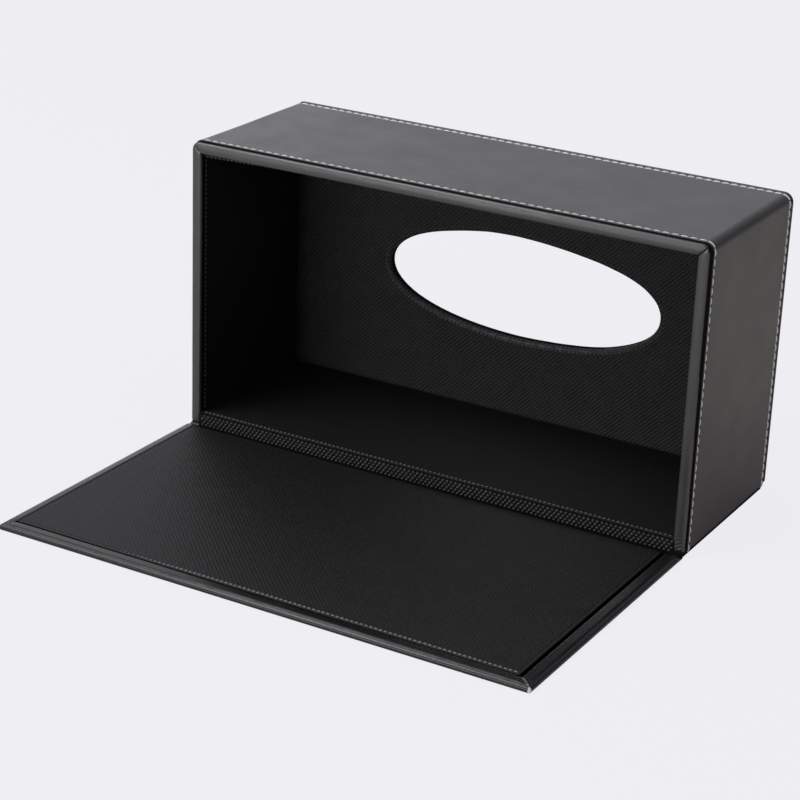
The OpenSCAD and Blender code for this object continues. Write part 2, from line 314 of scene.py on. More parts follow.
def lumps(a, b, seed, size):
    """Slow, small waves over two coordinates, for surfaces that aren't dead flat."""
    rng = np.random.default_rng(seed)
    total = np.zeros(np.broadcast(a, b).shape)
    for k in range(7):
        angle, turn = rng.uniform(0, math.pi), rng.uniform(0, 2 * math.pi)
        wave = size * rng.uniform(0.6, 1.7)
        total += np.sin(2 * math.pi * (a * math.cos(angle) + b * math.sin(angle)) / wave + turn)
    return total / 7


def ridge(distance, width):
    """1 on a line, falling off smoothly to both sides."""
    return np.exp(-(distance / width) ** 2)


def unit(values):
    """Values kept between 0 and 1."""
    return np.clip(values, 0, 1)


# %% [markdown]
# ## Shared shader effects
# Three effects come back in several finishes, so each is a shader node group with
# named inputs: the fine pebbled grain of coated leather, the worn edge of a fold,
# which on the hem and the pad also paints a highlight, and the dot lattice that a hot
# roller presses into nonwoven cloth. A group puts out only heights and masks. The
# shaders stay in the materials.

# %% The three groups
def noise(tree, place, scale, detail, roughness=0.5, distortion=0.0):
    return node(tree, "ShaderNodeTexNoise", {
        "Vector": place, "Scale": scale, "Detail": detail, "Roughness": roughness,
        "Distortion": distortion})


def make_grain():
    group, given, out = new_tree("coated_leather_grain", "ShaderNodeTree", {
        "Vector": "Vector", "Pebble Scale": 1400.0, "Mottle Scale": 90.0},
        {"Height": "Float", "Mottle": "Float"})
    place, scale = given["Vector"], given["Pebble Scale"]
    cells = node(group, "ShaderNodeTexVoronoi", {
        "Vector": place, "Scale": scale, "Randomness": 0.9}, feature="SMOOTH_F1")
    wrinkles = noise(group, place, maths(group, "MULTIPLY", scale, 0.45), 3.0, 0.6)
    fill(group, out["Height"], maths(group, "MULTIPLY_ADD", cells.outputs["Distance"], 0.7,
                                     wrinkles))
    fill(group, out["Mottle"], noise(group, place, given["Mottle Scale"], 4.0, 0.62))
    return group


def make_edge_wear_and_highlight():
    group, given, out = new_tree("edge_wear_and_highlight", "ShaderNodeTree", {
        "Vector": "Vector", "Edge": 0.0, "Break-up": 0.5, "Scale": 220.0}, {"Wear And Highlight": "Float"})
    # the edge mark holds wear on the sleeve and back and a painted highlight on the hem and pad,
    # and noise breaks it into patches
    patches = noise(group, given["Vector"], given["Scale"], 5.0, 0.7)
    shift = maths(group, "SUBTRACT", patches, 0.5)
    broken = maths(group, "MULTIPLY_ADD", shift, given["Break-up"], given["Edge"])
    fill(group, out["Wear And Highlight"], maths(group, "MULTIPLY", broken, given["Edge"], use_clamp=True))
    return group


def make_lattice():
    group, given, out = new_tree("pressed_dot_lattice", "ShaderNodeTree", {
        "Vector": "Vector", "Pitch": 0.0021, "Cross": 0.25, "Unevenness": 1.0,
        "Fibre Scale": 2600.0}, {"Height": "Float", "Dots": "Float"})
    calc, place = partial(maths, group), given["Vector"]
    parts = node(group, "ShaderNodeSeparateXYZ", {0: place}).outputs
    rate = calc("DIVIDE", 2 * math.pi, given["Pitch"])
    drift = calc("SUBTRACT", noise(group, place, 420.0, 2.0, 0.7), 0.5)
    late = calc("MULTIPLY", drift, calc("MULTIPLY", given["Unevenness"], 6.0))
    # two crossed sets of slanting waves, whose crests meet in the dots
    first, second = (calc("COSINE", calc("MULTIPLY_ADD", calc(
        sign, parts[0], parts[1]), rate, late)) for sign in ("ADD", "SUBTRACT"))
    both = calc("MULTIPLY_ADD", calc("MULTIPLY_ADD", second, given["Cross"], first), 0.40, 0.5)
    dots = node(group, "ShaderNodeMapRange", {0: both, 1: 0.15, 2: 1.0}, clamp=True,
                interpolation_type="SMOOTHSTEP")
    fibres = noise(group, place, given["Fibre Scale"], 3.0, 0.7, 0.6)
    fill(group, out["Height"], calc("MULTIPLY_ADD", fibres, 0.35, dots))
    fill(group, out["Dots"], dots)
    return group


GRAIN, EDGE_WEAR_AND_HIGHLIGHT, LATTICE = make_grain(), make_edge_wear_and_highlight(), make_lattice()
print("groups", [g.name for g in (GRAIN, EDGE_WEAR_AND_HIGHLIGHT, LATTICE)])


# %% [markdown]
# ## The finishes
# The leather is black coated leather, smooth and satin. Its colour is nearly black
# and its brightness comes from the soft gloss. Folds are a little lighter and
# smoother where hands rub them, and a much lighter colour along the flap's rolled
# edges and the pad's crown is a painted highlight. The lining is black nonwoven
# cloth, matt, with its lattice of pressed dots, read from each panel's own UV map so
# that it follows the cloth. The thread is pale grey outside and dark grey inside.
# Each mesh carries marks at its points, which the finish reads: worn places together
# with painted highlights, painted shade that turns grooves, folds and hidden places
# near-black, and a painted highlight that makes cloth lighter where it would catch
# the light.

# %% Material helpers
def start_material(name):
    """A material, its tree, and the place of each point on the piece."""
    material = bpy.data.materials.new(name)
    material.use_nodes = True
    tree = material.node_tree
    return material, tree, node(tree, "ShaderNodeTexCoord").outputs["Object"]


def mark(tree, name):
    return node(tree, "ShaderNodeAttribute", attribute_name=name).outputs["Fac"]


def dress(tree, colour, roughness, bump, others=()):
    """Wires the shader. Its plain numbers go straight on to its own sockets."""
    shader = tree.nodes["Principled BSDF"]
    values = {"Base Color": colour, "Roughness": roughness, **dict(others)}
    if bump:
        strength, distance, height = bump
        values["Normal"] = node(tree, "ShaderNodeBump", {
            "Strength": strength, "Distance": distance, "Height": height})
    for label, value in values.items():
        fill(tree, shader.inputs[label], value)


# %% Leather and cloth
def leather(name, dark, light, rubbed_and_highlight, roughness, depth, gloss):
    material, tree, place = start_material(name)
    grain = node(tree, "ShaderNodeGroup", {
        "Vector": place, "Pebble Scale": 1500.0, "Mottle Scale": 70.0}, node_tree=GRAIN).outputs
    wear_and_highlight = node(tree, "ShaderNodeGroup", {
        "Vector": place, "Edge": mark(tree, "wear_and_highlight"), "Break-up": 0.9}, node_tree=EDGE_WEAR_AND_HIGHLIGHT)
    mottle, shade = grain["Mottle"], mark(tree, "shade")
    # lighter where the mesh marks it: real wear on the sleeve and back, a painted highlight on the
    # hem's edges and the pad's crown
    colour = blend(tree, wear_and_highlight, blend(tree, mottle, dark, light), rubbed_and_highlight)
    # painted shade: near-black where the mesh marks shade, in grooves, folds and hidden places
    colour = blend(tree, shade, colour, (0.003, 0.003, 0.003))
    # uneven by the mottle, smoother on worn places and painted highlights, rougher under painted
    # shade
    rough = maths(tree, "MULTIPLY_ADD", mottle, 0.16, roughness - 0.08)
    rough = maths(tree, "MULTIPLY_ADD", wear_and_highlight, -0.08, rough)
    rough = maths(tree, "MULTIPLY_ADD", shade, 0.5, rough)
    dress(tree, colour, rough, (1.0, depth, grain["Height"]), {"Specular IOR Level": gloss})
    return material


def nonwoven(name, dark, light, pressed, cross, depth, roughness, gloss=0.26, lift=2.2,
             grain=1.3, uneven=0.3):
    """pressed is how deep the dots are, lift how much lighter the painted highlight makes the
    cloth, and grain how strong its speckle is."""
    material, tree, place = start_material(name)
    calc = partial(maths, tree)
    lattice = node(tree, "ShaderNodeGroup", {
        "Vector": node(tree, "ShaderNodeUVMap", uv_map="cloth"), "Pitch": DOT_PITCH * MM,
        "Cross": cross, "Unevenness": uneven}, node_tree=LATTICE).outputs
    raised, shade = mark(tree, "raised"), mark(tree, "shade")
    # the share of the light colour: slow clouds, fine specks, dots and the painted highlight
    share = calc("MULTIPLY_ADD", noise(tree, place, 110.0, 3.0, 0.6), 0.7, 0.03 - 0.5 * grain)
    share = calc("MULTIPLY_ADD", noise(tree, place, 1100.0, 2.0, 0.7), grain, share)
    share = calc("MULTIPLY_ADD", lattice["Dots"], pressed, share)
    share = calc("MULTIPLY_ADD", raised, 1.2, share)
    colour = blend(tree, calc("ADD", share, 0.0, use_clamp=True), dark, light)
    # painted highlight: much lighter where the mesh marks it
    colour = blend(tree, raised, colour, tuple(v * lift for v in light))
    # painted shade: near-black where the mesh marks shade
    colour = blend(tree, shade, colour, (0.001, 0.001, 0.001))
    rough = calc("MULTIPLY_ADD", lattice["Dots"], -0.12 * pressed, roughness)
    dress(tree, colour, rough, (pressed, depth, lattice["Height"]), {"Specular IOR Level": gloss})
    return material


# %% Thread, board and magnet
def thread(name, dark, light, roughness):
    material, tree, place = start_material(name)
    plies = node(tree, "ShaderNodeTexWave", {"Vector": place, "Scale": 900.0, "Distortion": 2.0,
                 "Detail": 2.0}, bands_direction="DIAGONAL").outputs["Fac"]
    colour = blend(tree, noise(tree, place, 700.0, 3.0), dark, light)
    dress(tree, colour, roughness, (0.6, 0.0001, plies))
    return material


def plain_board():
    material, tree, place = start_material("grey_board")
    fibre = noise(tree, place, 600.0, 6.0, 0.75)
    colour = blend(tree, fibre, (0.24, 0.215, 0.18), (0.40, 0.37, 0.31))
    dress(tree, colour, 0.9, (0.5, 0.0001, fibre))
    return material


def magnet_steel():
    material, tree, place = start_material("plated_magnet")
    brushed = noise(tree, place, 900.0, 4.0)
    colour = blend(tree, brushed, (0.52, 0.52, 0.54), (0.66, 0.66, 0.68))
    dress(tree, colour, maths(tree, "MULTIPLY_ADD", brushed, 0.2, 0.22), None, {"Metallic": 1.0})
    return material


# %% The finishes of this cover
SLEEVE = leather("sleeve_leather_finish", (0.011, 0.0107, 0.0112), (0.017, 0.0164, 0.017),
                 (0.030, 0.029, 0.030), 0.42, 0.00004, 0.75)
# the binding's third colour paints the highlight along the pad's crown and on its gathered ends
BINDING = leather("binding_leather_finish", (0.0125, 0.0122, 0.0142), (0.019, 0.0185, 0.0212),
                  (0.034, 0.033, 0.037), 0.33, 0.00004, 0.9)
# the hem's near-white third colour is a painted highlight along its rolled edge, the mitres and the
# corners
HEM = leather("hem_leather_finish", (0.006, 0.0058, 0.0064), (0.010, 0.0096, 0.0104),
              (0.70, 0.69, 0.71), 0.27, 0.00003, 0.38)
# near-black matt leather that paints shade: the grooves beside the pad, the slot's wall, the base
# panel and the hinge strip's right end
SHADE_FINISH = leather("painted_shade_finish", (0.004, 0.004, 0.0045), (0.007, 0.007, 0.0075),
               (0.010, 0.010, 0.010), 0.75, 0.00004, 0.12)
LINING = nonwoven("lining_cloth_finish", (0.0012, 0.0012, 0.0013), (0.0300, 0.0292, 0.0312),
                  0.95, 0.75, 0.00030, 0.76, lift=4.6)
SMOOTH_LINING = nonwoven("smooth_lining_finish", (0.0026, 0.0025, 0.0028),
                         (0.0085, 0.0083, 0.0088), 0.30, 0.8, 0.00020, 0.78, 0.20)
FLAP_LINING = nonwoven("flap_lining_finish", (0.0020, 0.0019, 0.0020), (0.0108, 0.0102, 0.0105),
                       0.34, 0.7, 0.00022, 0.60, 0.27, grain=2.6, uneven=1.0)
# the hinge cloth: its high lift makes the painted highlight on the domes strong
LIP_CLOTH = nonwoven("lip_cloth_finish", (0.0018, 0.0018, 0.0018), (0.0120, 0.0117, 0.0120),
                     0.25, 0.8, 0.00006, 0.85, 0.08, 6.5)
PALE_THREAD = thread("pale_thread", (0.55, 0.54, 0.55), (0.80, 0.79, 0.80), 0.55)
DARK_THREAD = thread("dark_thread", (0.045, 0.045, 0.048), (0.100, 0.098, 0.102), 0.6)
GREY_THREAD = thread("grey_thread", (0.11, 0.11, 0.115), (0.20, 0.195, 0.20), 0.6)
BOARD, MAGNET = plain_board(), magnet_steel()
print("materials", len(bpy.data.materials))


def apply_painted_shade(piece, material):
    """Gives the faces marked with shade a near-black matt finish, which paints the shade of grooves
    and hidden places.
    """
    piece.data.materials.append(material)
    marks = piece.data.attributes["shade"].data
    for face in piece.data.polygons:
        face.material_index = int(sum(marks[v].value for v in face.vertices)
                                  > 0.5 * len(face.vertices))


def finish_piece(piece, material, body, stands_for=(), edge=None):
    piece.data.materials.clear()
    piece.data.materials.append(material)
    # edge is the near-black finish that paints shade on the marked faces
    if edge:
        apply_painted_shade(piece, edge)
    if body:
        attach(piece, body)
    if stands_for:
        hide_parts(*stands_for)
    print(f"{piece.name}: {len(piece.data.polygons)} faces")
    return piece


# %% [markdown]
# ## Walking round the box
# The sleeve, the binding and their stitches all follow the box's outline. A station
# is one place on it: the centre of its bend, the outward direction and the bend's
# radius. From a station, a point lies so far in from the surface and so far behind
# the rim, so one drawing of a section serves all three walls and both bends.

# %% Stations
MIRROR = np.array([-1, 1, -1, 1, 1, -1, 1])     # turns a station on the left to the right


def bend(x, z, r, start, stop, count, ways):
    """Stations round one bend, angles in degrees."""
    return [(x, z, math.cos(a), math.sin(a), r, *ways)
            for a in np.radians(np.linspace(start, stop, count))]


def stations(step=0.66, low=BASE_T + LOW_R, turned=False):
    """Up the left wall, over the top and down the right one. Each row holds the bend's
    centre, the way out, the bend's radius and the ways in which a deeper point moves."""
    x, z_bend = HALF - TOP_R, TOP - TOP_R
    rows = []
    if turned:
        low = HANG_Z + HANG_R
        rows += bend(-HALF + HANG_R, low, HANG_R, 285, 180, 7, (1, 1))
    rows += [(-x, z, -1.0, 0.0, TOP_R, 1, 0)
             for z in np.linspace(low, z_bend, int((z_bend - low) / step) + 1)]
    rows += bend(-x, z_bend, TOP_R, 180, 90, 13, (1, -1))[1:]
    rows += [(v, z_bend, 0.0, 1.0, TOP_R, 0, -1)
             for v in np.linspace(-x, 0, int(x / step) + 1)[1:]]
    rows = np.array(rows)
    return np.vstack([rows, rows[:-1][::-1] * MIRROR])


def place_on(rows, inset, depth):
    """Points at some insets and depths (each a row of numbers, or a table of them)."""
    inset = np.broadcast_to(inset, (len(rows), np.shape(inset)[-1]))
    depth = np.broadcast_to(depth, inset.shape)
    cx, cz, dx, dz, r, ix, iz = (rows[:, k:k + 1] for k in range(7))
    inner = np.maximum(inset - r, 0)
    reach = np.maximum(r - inset, 0)
    on_bend = (np.abs(dx) > 0.001) & (np.abs(dz) > 0.001)
    x = cx + dx * reach + np.where(on_bend, ix, -dx) * inner
    z = cz + dz * reach + np.where(on_bend, iz, -dz) * inner
    return np.stack([x, RIM_Y + depth, z], -1)


def line_on(rows, inset, depth=0.0):
    """One point per station."""
    return place_on(rows, np.array([[inset]]), depth)[:, 0]


def walked(rows):
    """How far round the surface each station is."""
    steps = np.linalg.norm(np.diff(line_on(rows, 0.0), axis=0), axis=1)
    return np.concatenate([[0], np.cumsum(steps)])


# %% [markdown]
# ## The sleeve
# One strip of leather is glued round the top and the end walls. Its two long edges
# are folded under and sewn down, and each stitch pulls the leather down a little
# between two holes. The strip could be a plain sheet with a bump, but the dips catch
# the light along the whole edge, so they are in the mesh: the section has close rows
# at both seams, and its depth there follows the stitch count.

# %% Sleeve section and mesh
SLEEVE_FRONT, SLEEVE_BACK = 3.4, 86.3      # depths behind the rim
FRONT_ROW, BACK_ROW = 4.65, 84.5
STITCH_PITCH = 4.0
SKIN = 0.42                                # the sleeve lies this far inside the outline
SEAM_LOW = 3.4                             # height of the first needle hole
TUCKED = 0.95                              # inset of the edge that is turned under


def folded(edge, way, r):
    """Depth and inset of an edge folded under, from inside out."""
    t = np.radians(np.linspace(-90, 90, 9))
    return edge + way * r * (1 - np.cos(t)), r - r * np.sin(t)


rows = stations(turned=True)
along = walked(rows)
seam_rows = stations(low=SEAM_LOW)
seam_length = walked(seam_rows)[-1]
pitch = seam_length / int(seam_length / STITCH_PITCH)
first = np.interp(SEAM_LOW, rows[:60, 1], along[:60])

front_d, front_o = folded(SLEEVE_FRONT, 1, 0.42)
back_d, back_o = folded(SLEEVE_BACK, -1, 0.38)
middle = dense(SLEEVE_FRONT + 0.7, SLEEVE_BACK - 0.6, 4.0, (FRONT_ROW, BACK_ROW), 0.3, 1.5)
d_all = np.concatenate([[SLEEVE_FRONT + 2.5], front_d, middle, back_d[::-1], [SLEEVE_BACK - 2.5]])
o_all = np.concatenate([[TUCKED], front_o, 0 * middle, back_o[::-1], [TUCKED]])
D, S = np.meshgrid(d_all, along)
inset = np.broadcast_to(o_all, D.shape) + SKIN
dip = 0.5 - 0.5 * np.cos(2 * math.pi * (S - first) / pitch)    # 1 at a needle hole
outer = (o_all < 0.4)[None, :]
for row, pull in ((FRONT_ROW, 0.34), (BACK_ROW, 0.26)):       # the stitches pull it down
    inset = inset + outer * ridge(D - row, 0.62) * (0.10 + pull * dip)
# the front fold stands up a little, and the walls aren't dead flat
inset = inset - (o_all < 1.2)[None, :] * 0.30 * ridge(D - SLEEVE_FRONT - 0.2, 0.75)
inset = inset - outer * 0.14 * (lumps(D, S, 5, 45.0) - 0.1) * unit((D - 7) / 12) * unit(
    (80 - D) / 12)
wear_and_highlight = np.where(outer, 0.5 * ridge(D - SLEEVE_FRONT - 0.4, 0.4), 0)
sleeve = loft("sleeve_skin", place_on(rows, inset, D), {"wear_and_highlight": wear_and_highlight})
finish_piece(sleeve, SLEEVE, "box", ["sleeve_leather"])


# %% [markdown]
# ## The back cover
# The back is one sheet of leather with an oval slot in it. It is turned on to the
# walls by two millimetres, which shows as a thin ridge along the back edges, and its
# inner edge is turned through the slot. Rings run from inside the slot, over its
# rounded lip, across the flat back and round the outer edge, so one closed shell has
# all of it. The slot was cut by hand: its outline drifts up to 2.4 mm from the true
# oval, and the drift is written down by angle, in degrees.

# %% The slot's outline
DRIFT = {0: -0.1, 12: -1.1, 21: -2.0, 34: -2.4, 50: -2.2, 68: -1.9, 95: -1.5, 127: -1.4,
         151: -2.0, 169: -1.8, 180: -1.2, 195: -0.6, 230: -0.35, 270: -0.1, 300: -0.2,
         318: 0.0, 335: 0.6, 348: 0.6, 360: -0.1}


def oval_at(angles, grow):
    """The slot's outline, grown by some millimetres."""
    grow = grow + np.interp(np.degrees(angles) % 360, list(DRIFT), list(DRIFT.values()))
    a, b = SLOT_A + grow, SLOT_B + grow
    r = (np.abs(np.cos(angles) / a) ** SLOT_POWER + np.abs(np.sin(angles) / b) ** SLOT_POWER) ** (
        -1 / SLOT_POWER)
    return np.stack([r * np.cos(angles), SLOT_Z + r * np.sin(angles)], 1)


def plate_with_slot(name, outline, rings, across, marks, gather=0.0):
    """rings: (share, value, y). At share 0 the slot has grown by the value, at share 1
    the outline has moved in by it, and a share between them lies on the flat. gather
    is how far the cloth puckers where it is turned through the slot."""
    angles = np.arctan2(outline(0.0)[:, 1] - SLOT_Z, outline(0.0)[:, 0])
    points = []
    for share, value, y in rings:
        if share == 0:
            spot = oval_at(angles, value)
            y = y + gather * ridge(value - 1.0, 0.8) * (
                np.sin(angles * 61 + 2.2 * np.sin(angles * 9)) - 0.4) * (
                    0.6 + 0.4 * np.sin(angles * 5 + 1.0))
        elif share == 1:
            spot = outline(value)
        else:
            inner = oval_at(angles, across)
            spot = inner + (outline(across) - inner) * share
        points.append(np.column_stack([spot[:, 0], np.full(len(spot), y), spot[:, 1]]))
    points = np.array(points)
    n, m = points.shape[:2]
    marks = {k: np.broadcast_to(np.reshape(v, (n, -1)), (n, m)).ravel() for k, v in marks.items()}
    return new_mesh(name, points.reshape(-1, 3), grid_faces(n, m, True, True), marks)


# %% Back cover
def outline_samples(step=1.6):
    """The box's outline as stations all the way round."""
    x, z = HALF - LOW_R, BASE_T + LOW_R
    low = bend(x, z, LOW_R, 0, -90, 7, (-1, 1))[1:]
    low += [(v, z, 0.0, -1.0, LOW_R, 0, 1)
            for v in np.linspace(x, -x, int(2 * x / step) + 1)[1:-1]]
    low += bend(-x, z, LOW_R, 270, 180, 7, (1, 1))[:-1]
    return np.vstack([stations(step=step), low])


ring_rows = outline_samples()
slot = oval_at(np.linspace(0, 2 * math.pi, 361), 0.0)
print("slot", np.round(np.ptp(slot, axis=0), 1), "mm")


def back_outline(inset):
    """The outline moved inwards. The small lower bends end in a plain corner."""
    p = line_on(ring_rows, inset)[:, [0, 2]]
    return np.column_stack([np.clip(p[:, 0], inset - HALF, HALF - inset),
                            np.maximum(p[:, 1], BASE_T + inset)])


def back_rings():
    face, turned, lip = BACK_Y, 0.9, 0.55
    rings = [(0, turned, 110.9), (0, 0.10, 110.9), (0, 0.0, 111.2), (0, 0.0, 112.3)]
    rings += [(0, lip - lip * math.cos(t), face - lip + lip * math.sin(t))
              for t in np.radians((20, 40, 60, 80, 90))]
    # the seam round the slot pulls a groove into the leather
    rings += [(0, 1.2, face), (0, 1.6, face - 0.2), (0, 2.1, face - 0.62), (0, 2.6, face - 0.2),
              (0, 3.2, face)]
    rings += [(s, 0, face) for s in np.linspace(0.08, 0.92, 10)]
    rings += [(1, 3.2, face), (1, 1.6, face)]
    rings += [(1, turned - 0.85 * math.sin(t), face - turned + turned * math.cos(t))
              for t in np.radians((15, 35, 55, 75, 90))]
    rings += [(1, 0.05, face - 1.1), (1, 0.12, face - 1.5), (1, 0.4, face - 1.75),
              (1, turned, face - 1.8), (1, 1.0, face - 1.2), (1, 3.0, face - 0.85),
              (0, turned, face - 0.85)]
    return rings


rings = back_rings()
back_wear = [0.5 if (share == 1 and 0 < value < 0.9) else 0.0 for share, value, y in rings]
# painted shade: the slot's wall is marked, so it gets the near-black finish
back_shade = [float(share == 0 and y < 112.6) for share, value, y in rings]
back_skin = plate_with_slot("back_skin", back_outline, rings, 4.5,
                            {"wear_and_highlight": back_wear, "shade": back_shade})
finish_piece(back_skin, SLEEVE, "box", ["back_leather"], SHADE_FINISH)


# %% [markdown]
# ## The padded rim binding
# Three strips of leather with a thin foam under them are turned over the front edges
# of the walls and meet in mitres at the two top corners. Foam gives the section its
# crown, and where a strip ends at the base its leather is gathered, so it wrinkles.
# Each strip is the same section swept along its wall, with the ends cut on the mitre
# plane and small waves pressed in where the leather is gathered. The grooves that
# show beside it lie in shade, and the shade is painted: those faces get a near-black
# matt finish. A lighter colour along the crown and on the gathered ends is a painted
# highlight.

# %% Binding section
BIND_OUT = 0.80                   # the flank lies this far inside the outline
BIND_IN = 5.75                    # the pad bulges inwards to here
MITRE_LINE, MITRE_SINK = (0.32, 0.34), (1.4, 0.05)   # widths and depths at a mitre


def binding_section():
    """Insets and depths, from under the sleeve over the crown to the inner wall."""
    flank = [(BIND_OUT + 0.5, 4.4), (BIND_OUT + 0.1, 4.3), (BIND_OUT, 3.6), (BIND_OUT, 2.8),
             (BIND_OUT - 0.01, 2.2), (BIND_OUT - 0.03, 1.7)]
    t = np.radians(np.linspace(0, 90, 9))
    shoulder = list(zip(BIND_OUT - 0.05 + 1.45 * (1 - np.cos(t)), 1.35 - 1.2 * np.sin(t)))
    crown = [(v, 0.15 - 0.15 * math.sin(math.pi * (v - 2.2) / 2.8)) for v in
             (2.5, 2.9, 3.3, 3.7, 4.1, 4.5)]
    inner = arc(BIND_IN - 0.8, 0.90, 0.80, -85, 0, 8)
    back = [(BIND_IN - 0.12, 1.7), (WALL + 0.25, 2.5), (WALL + 0.1, 4.6), (4.2, 4.7), (2.6, 4.6)]
    return np.array(flank + shoulder + crown + inner + back)


SECTION = binding_section()
print("binding section", np.round(np.ptp(SECTION, axis=0), 2), "mm wide and deep")


# %% Binding meshes
def binding_mesh(name, rows, top_piece, seed):
    s = walked(rows)
    o, d = (np.broadcast_to(SECTION[:, k], (len(rows), len(SECTION))).copy() for k in (0, 1))
    front = np.clip(1.3 - d, 0, 1.1) / 1.1
    flank = (o < 2.0) & (d < 2.4)
    height = place_on(rows, o, d)[..., 2]
    # the leather is gathered towards the lower end, in ripples 1.7 and 1.05 mm apart
    gather = np.exp(-np.clip(height - 2.4, 0, None) / 4.5) if not top_piece else 0 * height
    ripple = np.sin(2 * math.pi * (height + 0.5 * o) / 1.7 + seed) + 0.6 * np.sin(
        2 * math.pi * (height - 0.8 * o) / 1.05 + 2 * seed)
    soft = 0.09 * lumps(s[:, None] + 0 * o, o, seed, 16.0)
    lift = front * (0.13 * gather * ripple + soft)
    d = d - np.clip(lift, -0.25, 0.18) * (d < 1.6)
    o = o + np.where(flank, 0.10 * gather * ripple, 0) - 0.05 * gather * (o < 1)
    d = np.maximum(d, 0.0)
    if not top_piece:
        end = unit(1 - (height - 2.3) / 1.1) ** 2      # the end is rounded off
        d = d + end * np.where(d < 2.0, 0.8, 0)
        o = o + end * np.where(flank, 0.5, 0)
    points = place_on(rows, o, d)
    x, y, z = (points[..., k] for k in range(3))
    for side in (-1, 1):
        # distance from the mitre plane of that top corner, positive towards the top strip
        gap = ((HALF + side * x) - (TOP - z)) / math.sqrt(2)
        sink = sum(deep * ridge(gap, width) for width, deep in (MITRE_LINE, MITRE_SINK))
        y += sink * (y < RIM_Y + 1.4) * unit((o - 1.3) / 0.6)
    # painted highlight: lighter along the pad's outer crown and on its gathered ends
    wear_and_highlight = 0.2 * ridge(o - 1.3, 0.7) * (d < 1.4) + 0.4 * gather * (d < 1.2)
    # painted shade: near-black in the grooves on both sides of the pad, darker on the right mitre's
    # line, at the top strip's right end and towards the inner edge of the top and right pads
    starts = 1.25 if top_piece else 1.35 - 0.75 * unit(height / 90)
    shade = np.where(o < 2.6, d > starts, d > 1.05).astype(float)
    right_gap = np.abs((HALF - x) - (TOP - z)) / math.sqrt(2)
    shade = np.maximum(shade, 0.7 * ridge(right_gap, 0.22))
    if top_piece:
        shade = np.maximum(shade, 0.10 + 0.25 * unit((x - 10) / 110))
    soft_side = unit((x + 90) / 120) if top_piece else x > 0
    shade = np.maximum(shade, 0.45 * soft_side * unit((o - 2.9) / 1.7))
    return loft(name, points, {"wear_and_highlight": wear_and_highlight, "shade": shade})


def rows_between(rows, low, high):
    """The stations whose outward direction lies between two angles."""
    angle = np.degrees(np.arctan2(rows[:, 3], rows[:, 2])) % 360
    return rows[(angle > low) & (angle < high)]


left_rows = rows_between(stations(step=0.35, low=2.3), 134.9, 181)
top_rows = rows_between(stations(step=0.6), 44.9, 135.1)
for name, rows_here, seed in (("binding_top", top_rows, 3), ("binding_left", left_rows, 5),
                              ("binding_right", (left_rows * MIRROR)[::-1], 8)):
    strip = binding_mesh(name, rows_here, name == "binding_top", seed)
    finish_piece(strip, BINDING, "box", ["rim_" + name], SHADE_FINISH)


# %% [markdown]
# ## Lining panels
# Inside, each wall has its own card panel covered with nonwoven cloth. The cloth is
# wrapped over the card's edge and sewn close to it, so each panel has soft edges, a
# small groove to its neighbour and a row of fine stitches near the opening. A panel
# is a closed slab with a rounded border, and its UV map holds the cloth's own
# measure, in metres, for the dot lattice.

# %% Panel helper
def measure_cloth(piece, corner, u_way, v_way):
    """The cloth's own measure, in metres, as a UV map."""
    mesh = piece.data
    co = np.zeros(len(mesh.vertices) * 3)
    mesh.vertices.foreach_get("co", co)
    co = co.reshape(-1, 3) - np.array(corner, float) * MM
    index = np.zeros(len(mesh.loops), int)
    mesh.loops.foreach_get("vertex_index", index)
    uv = np.stack([co @ np.array(u_way, float), co @ np.array(v_way, float)], 1)[index]
    layer = mesh.uv_layers.new(name="cloth")
    layer.data.foreach_set("uv", uv.ravel())


def panel_surface(name, corner, ways, size, thick, r, seams, wave, seed, roll=0.0):
    """A slab with rounded upper edges. ways: along u, along v and out. seams: (axis,
    place) of the sewn rows. roll lifts the edge at v = 0, most of all at u = 0."""
    corner, u_way, v_way, out_way = (np.array(v, float) for v in (corner, *ways))
    near = r * (1 - np.sin(np.radians(np.linspace(90, 0, 6)[1:-1])))
    us, vs = (np.concatenate([
        [0.0], near, dense(r, full - r, 2.4, [p for way, p in seams if way == axis], 0.3, 0.9),
        full - near[::-1], [full]]) for full, axis in zip(size, "uv"))
    U, V = np.meshgrid(us, vs, indexing="ij")

    def drop(t, full):
        edge = np.clip(r - np.minimum(t, full - t), 0, r)
        return r - np.sqrt(np.maximum(r * r - edge * edge, 0))

    height = thick - np.minimum(drop(U, size[0]) + drop(V, size[1]), thick * 0.96)
    for axis, place in seams:
        height -= 0.16 * ridge((U if axis == "u" else V) - place, 0.42)
    shape = np.sin(math.pi * U / size[0]) * np.sin(math.pi * V / size[1])
    height += roll * ridge(V, 5.0) * (1 + 1.1 * ridge(U, 28.0)) + wave * (
        lumps(U, V, seed, 60.0) - 0.2) * unit(shape * 6)
    under = corner + U[..., None] * u_way + V[..., None] * v_way
    points = (under + height[..., None] * out_way).reshape(-1, 3)
    n, m = U.shape
    loop = [i * m for i in range(n)] + [(n - 1) * m + j for j in range(1, m)] + [
        i * m + m - 1 for i in range(n - 2, -1, -1)] + list(range(m - 2, 0, -1))
    ring = [len(points) + k for k in range(len(loop))]
    faces = grid_faces(n, m)
    faces += [(loop[k - 1], loop[k], ring[k], ring[k - 1]) for k in range(len(loop))]
    faces.append(tuple(ring))
    border = np.minimum(np.minimum(U, size[0] - U), np.minimum(V, size[1] - V)).ravel()
    # painted highlight: the panel's rounded border is made lighter
    raised = np.concatenate([0.16 * ridge(border, 0.9), np.zeros(len(loop))])
    piece = new_mesh(name, np.vstack([points, under.reshape(-1, 3)[loop]]), faces,
                     {"raised": raised})
    measure_cloth(piece, corner, u_way, v_way)
    return piece


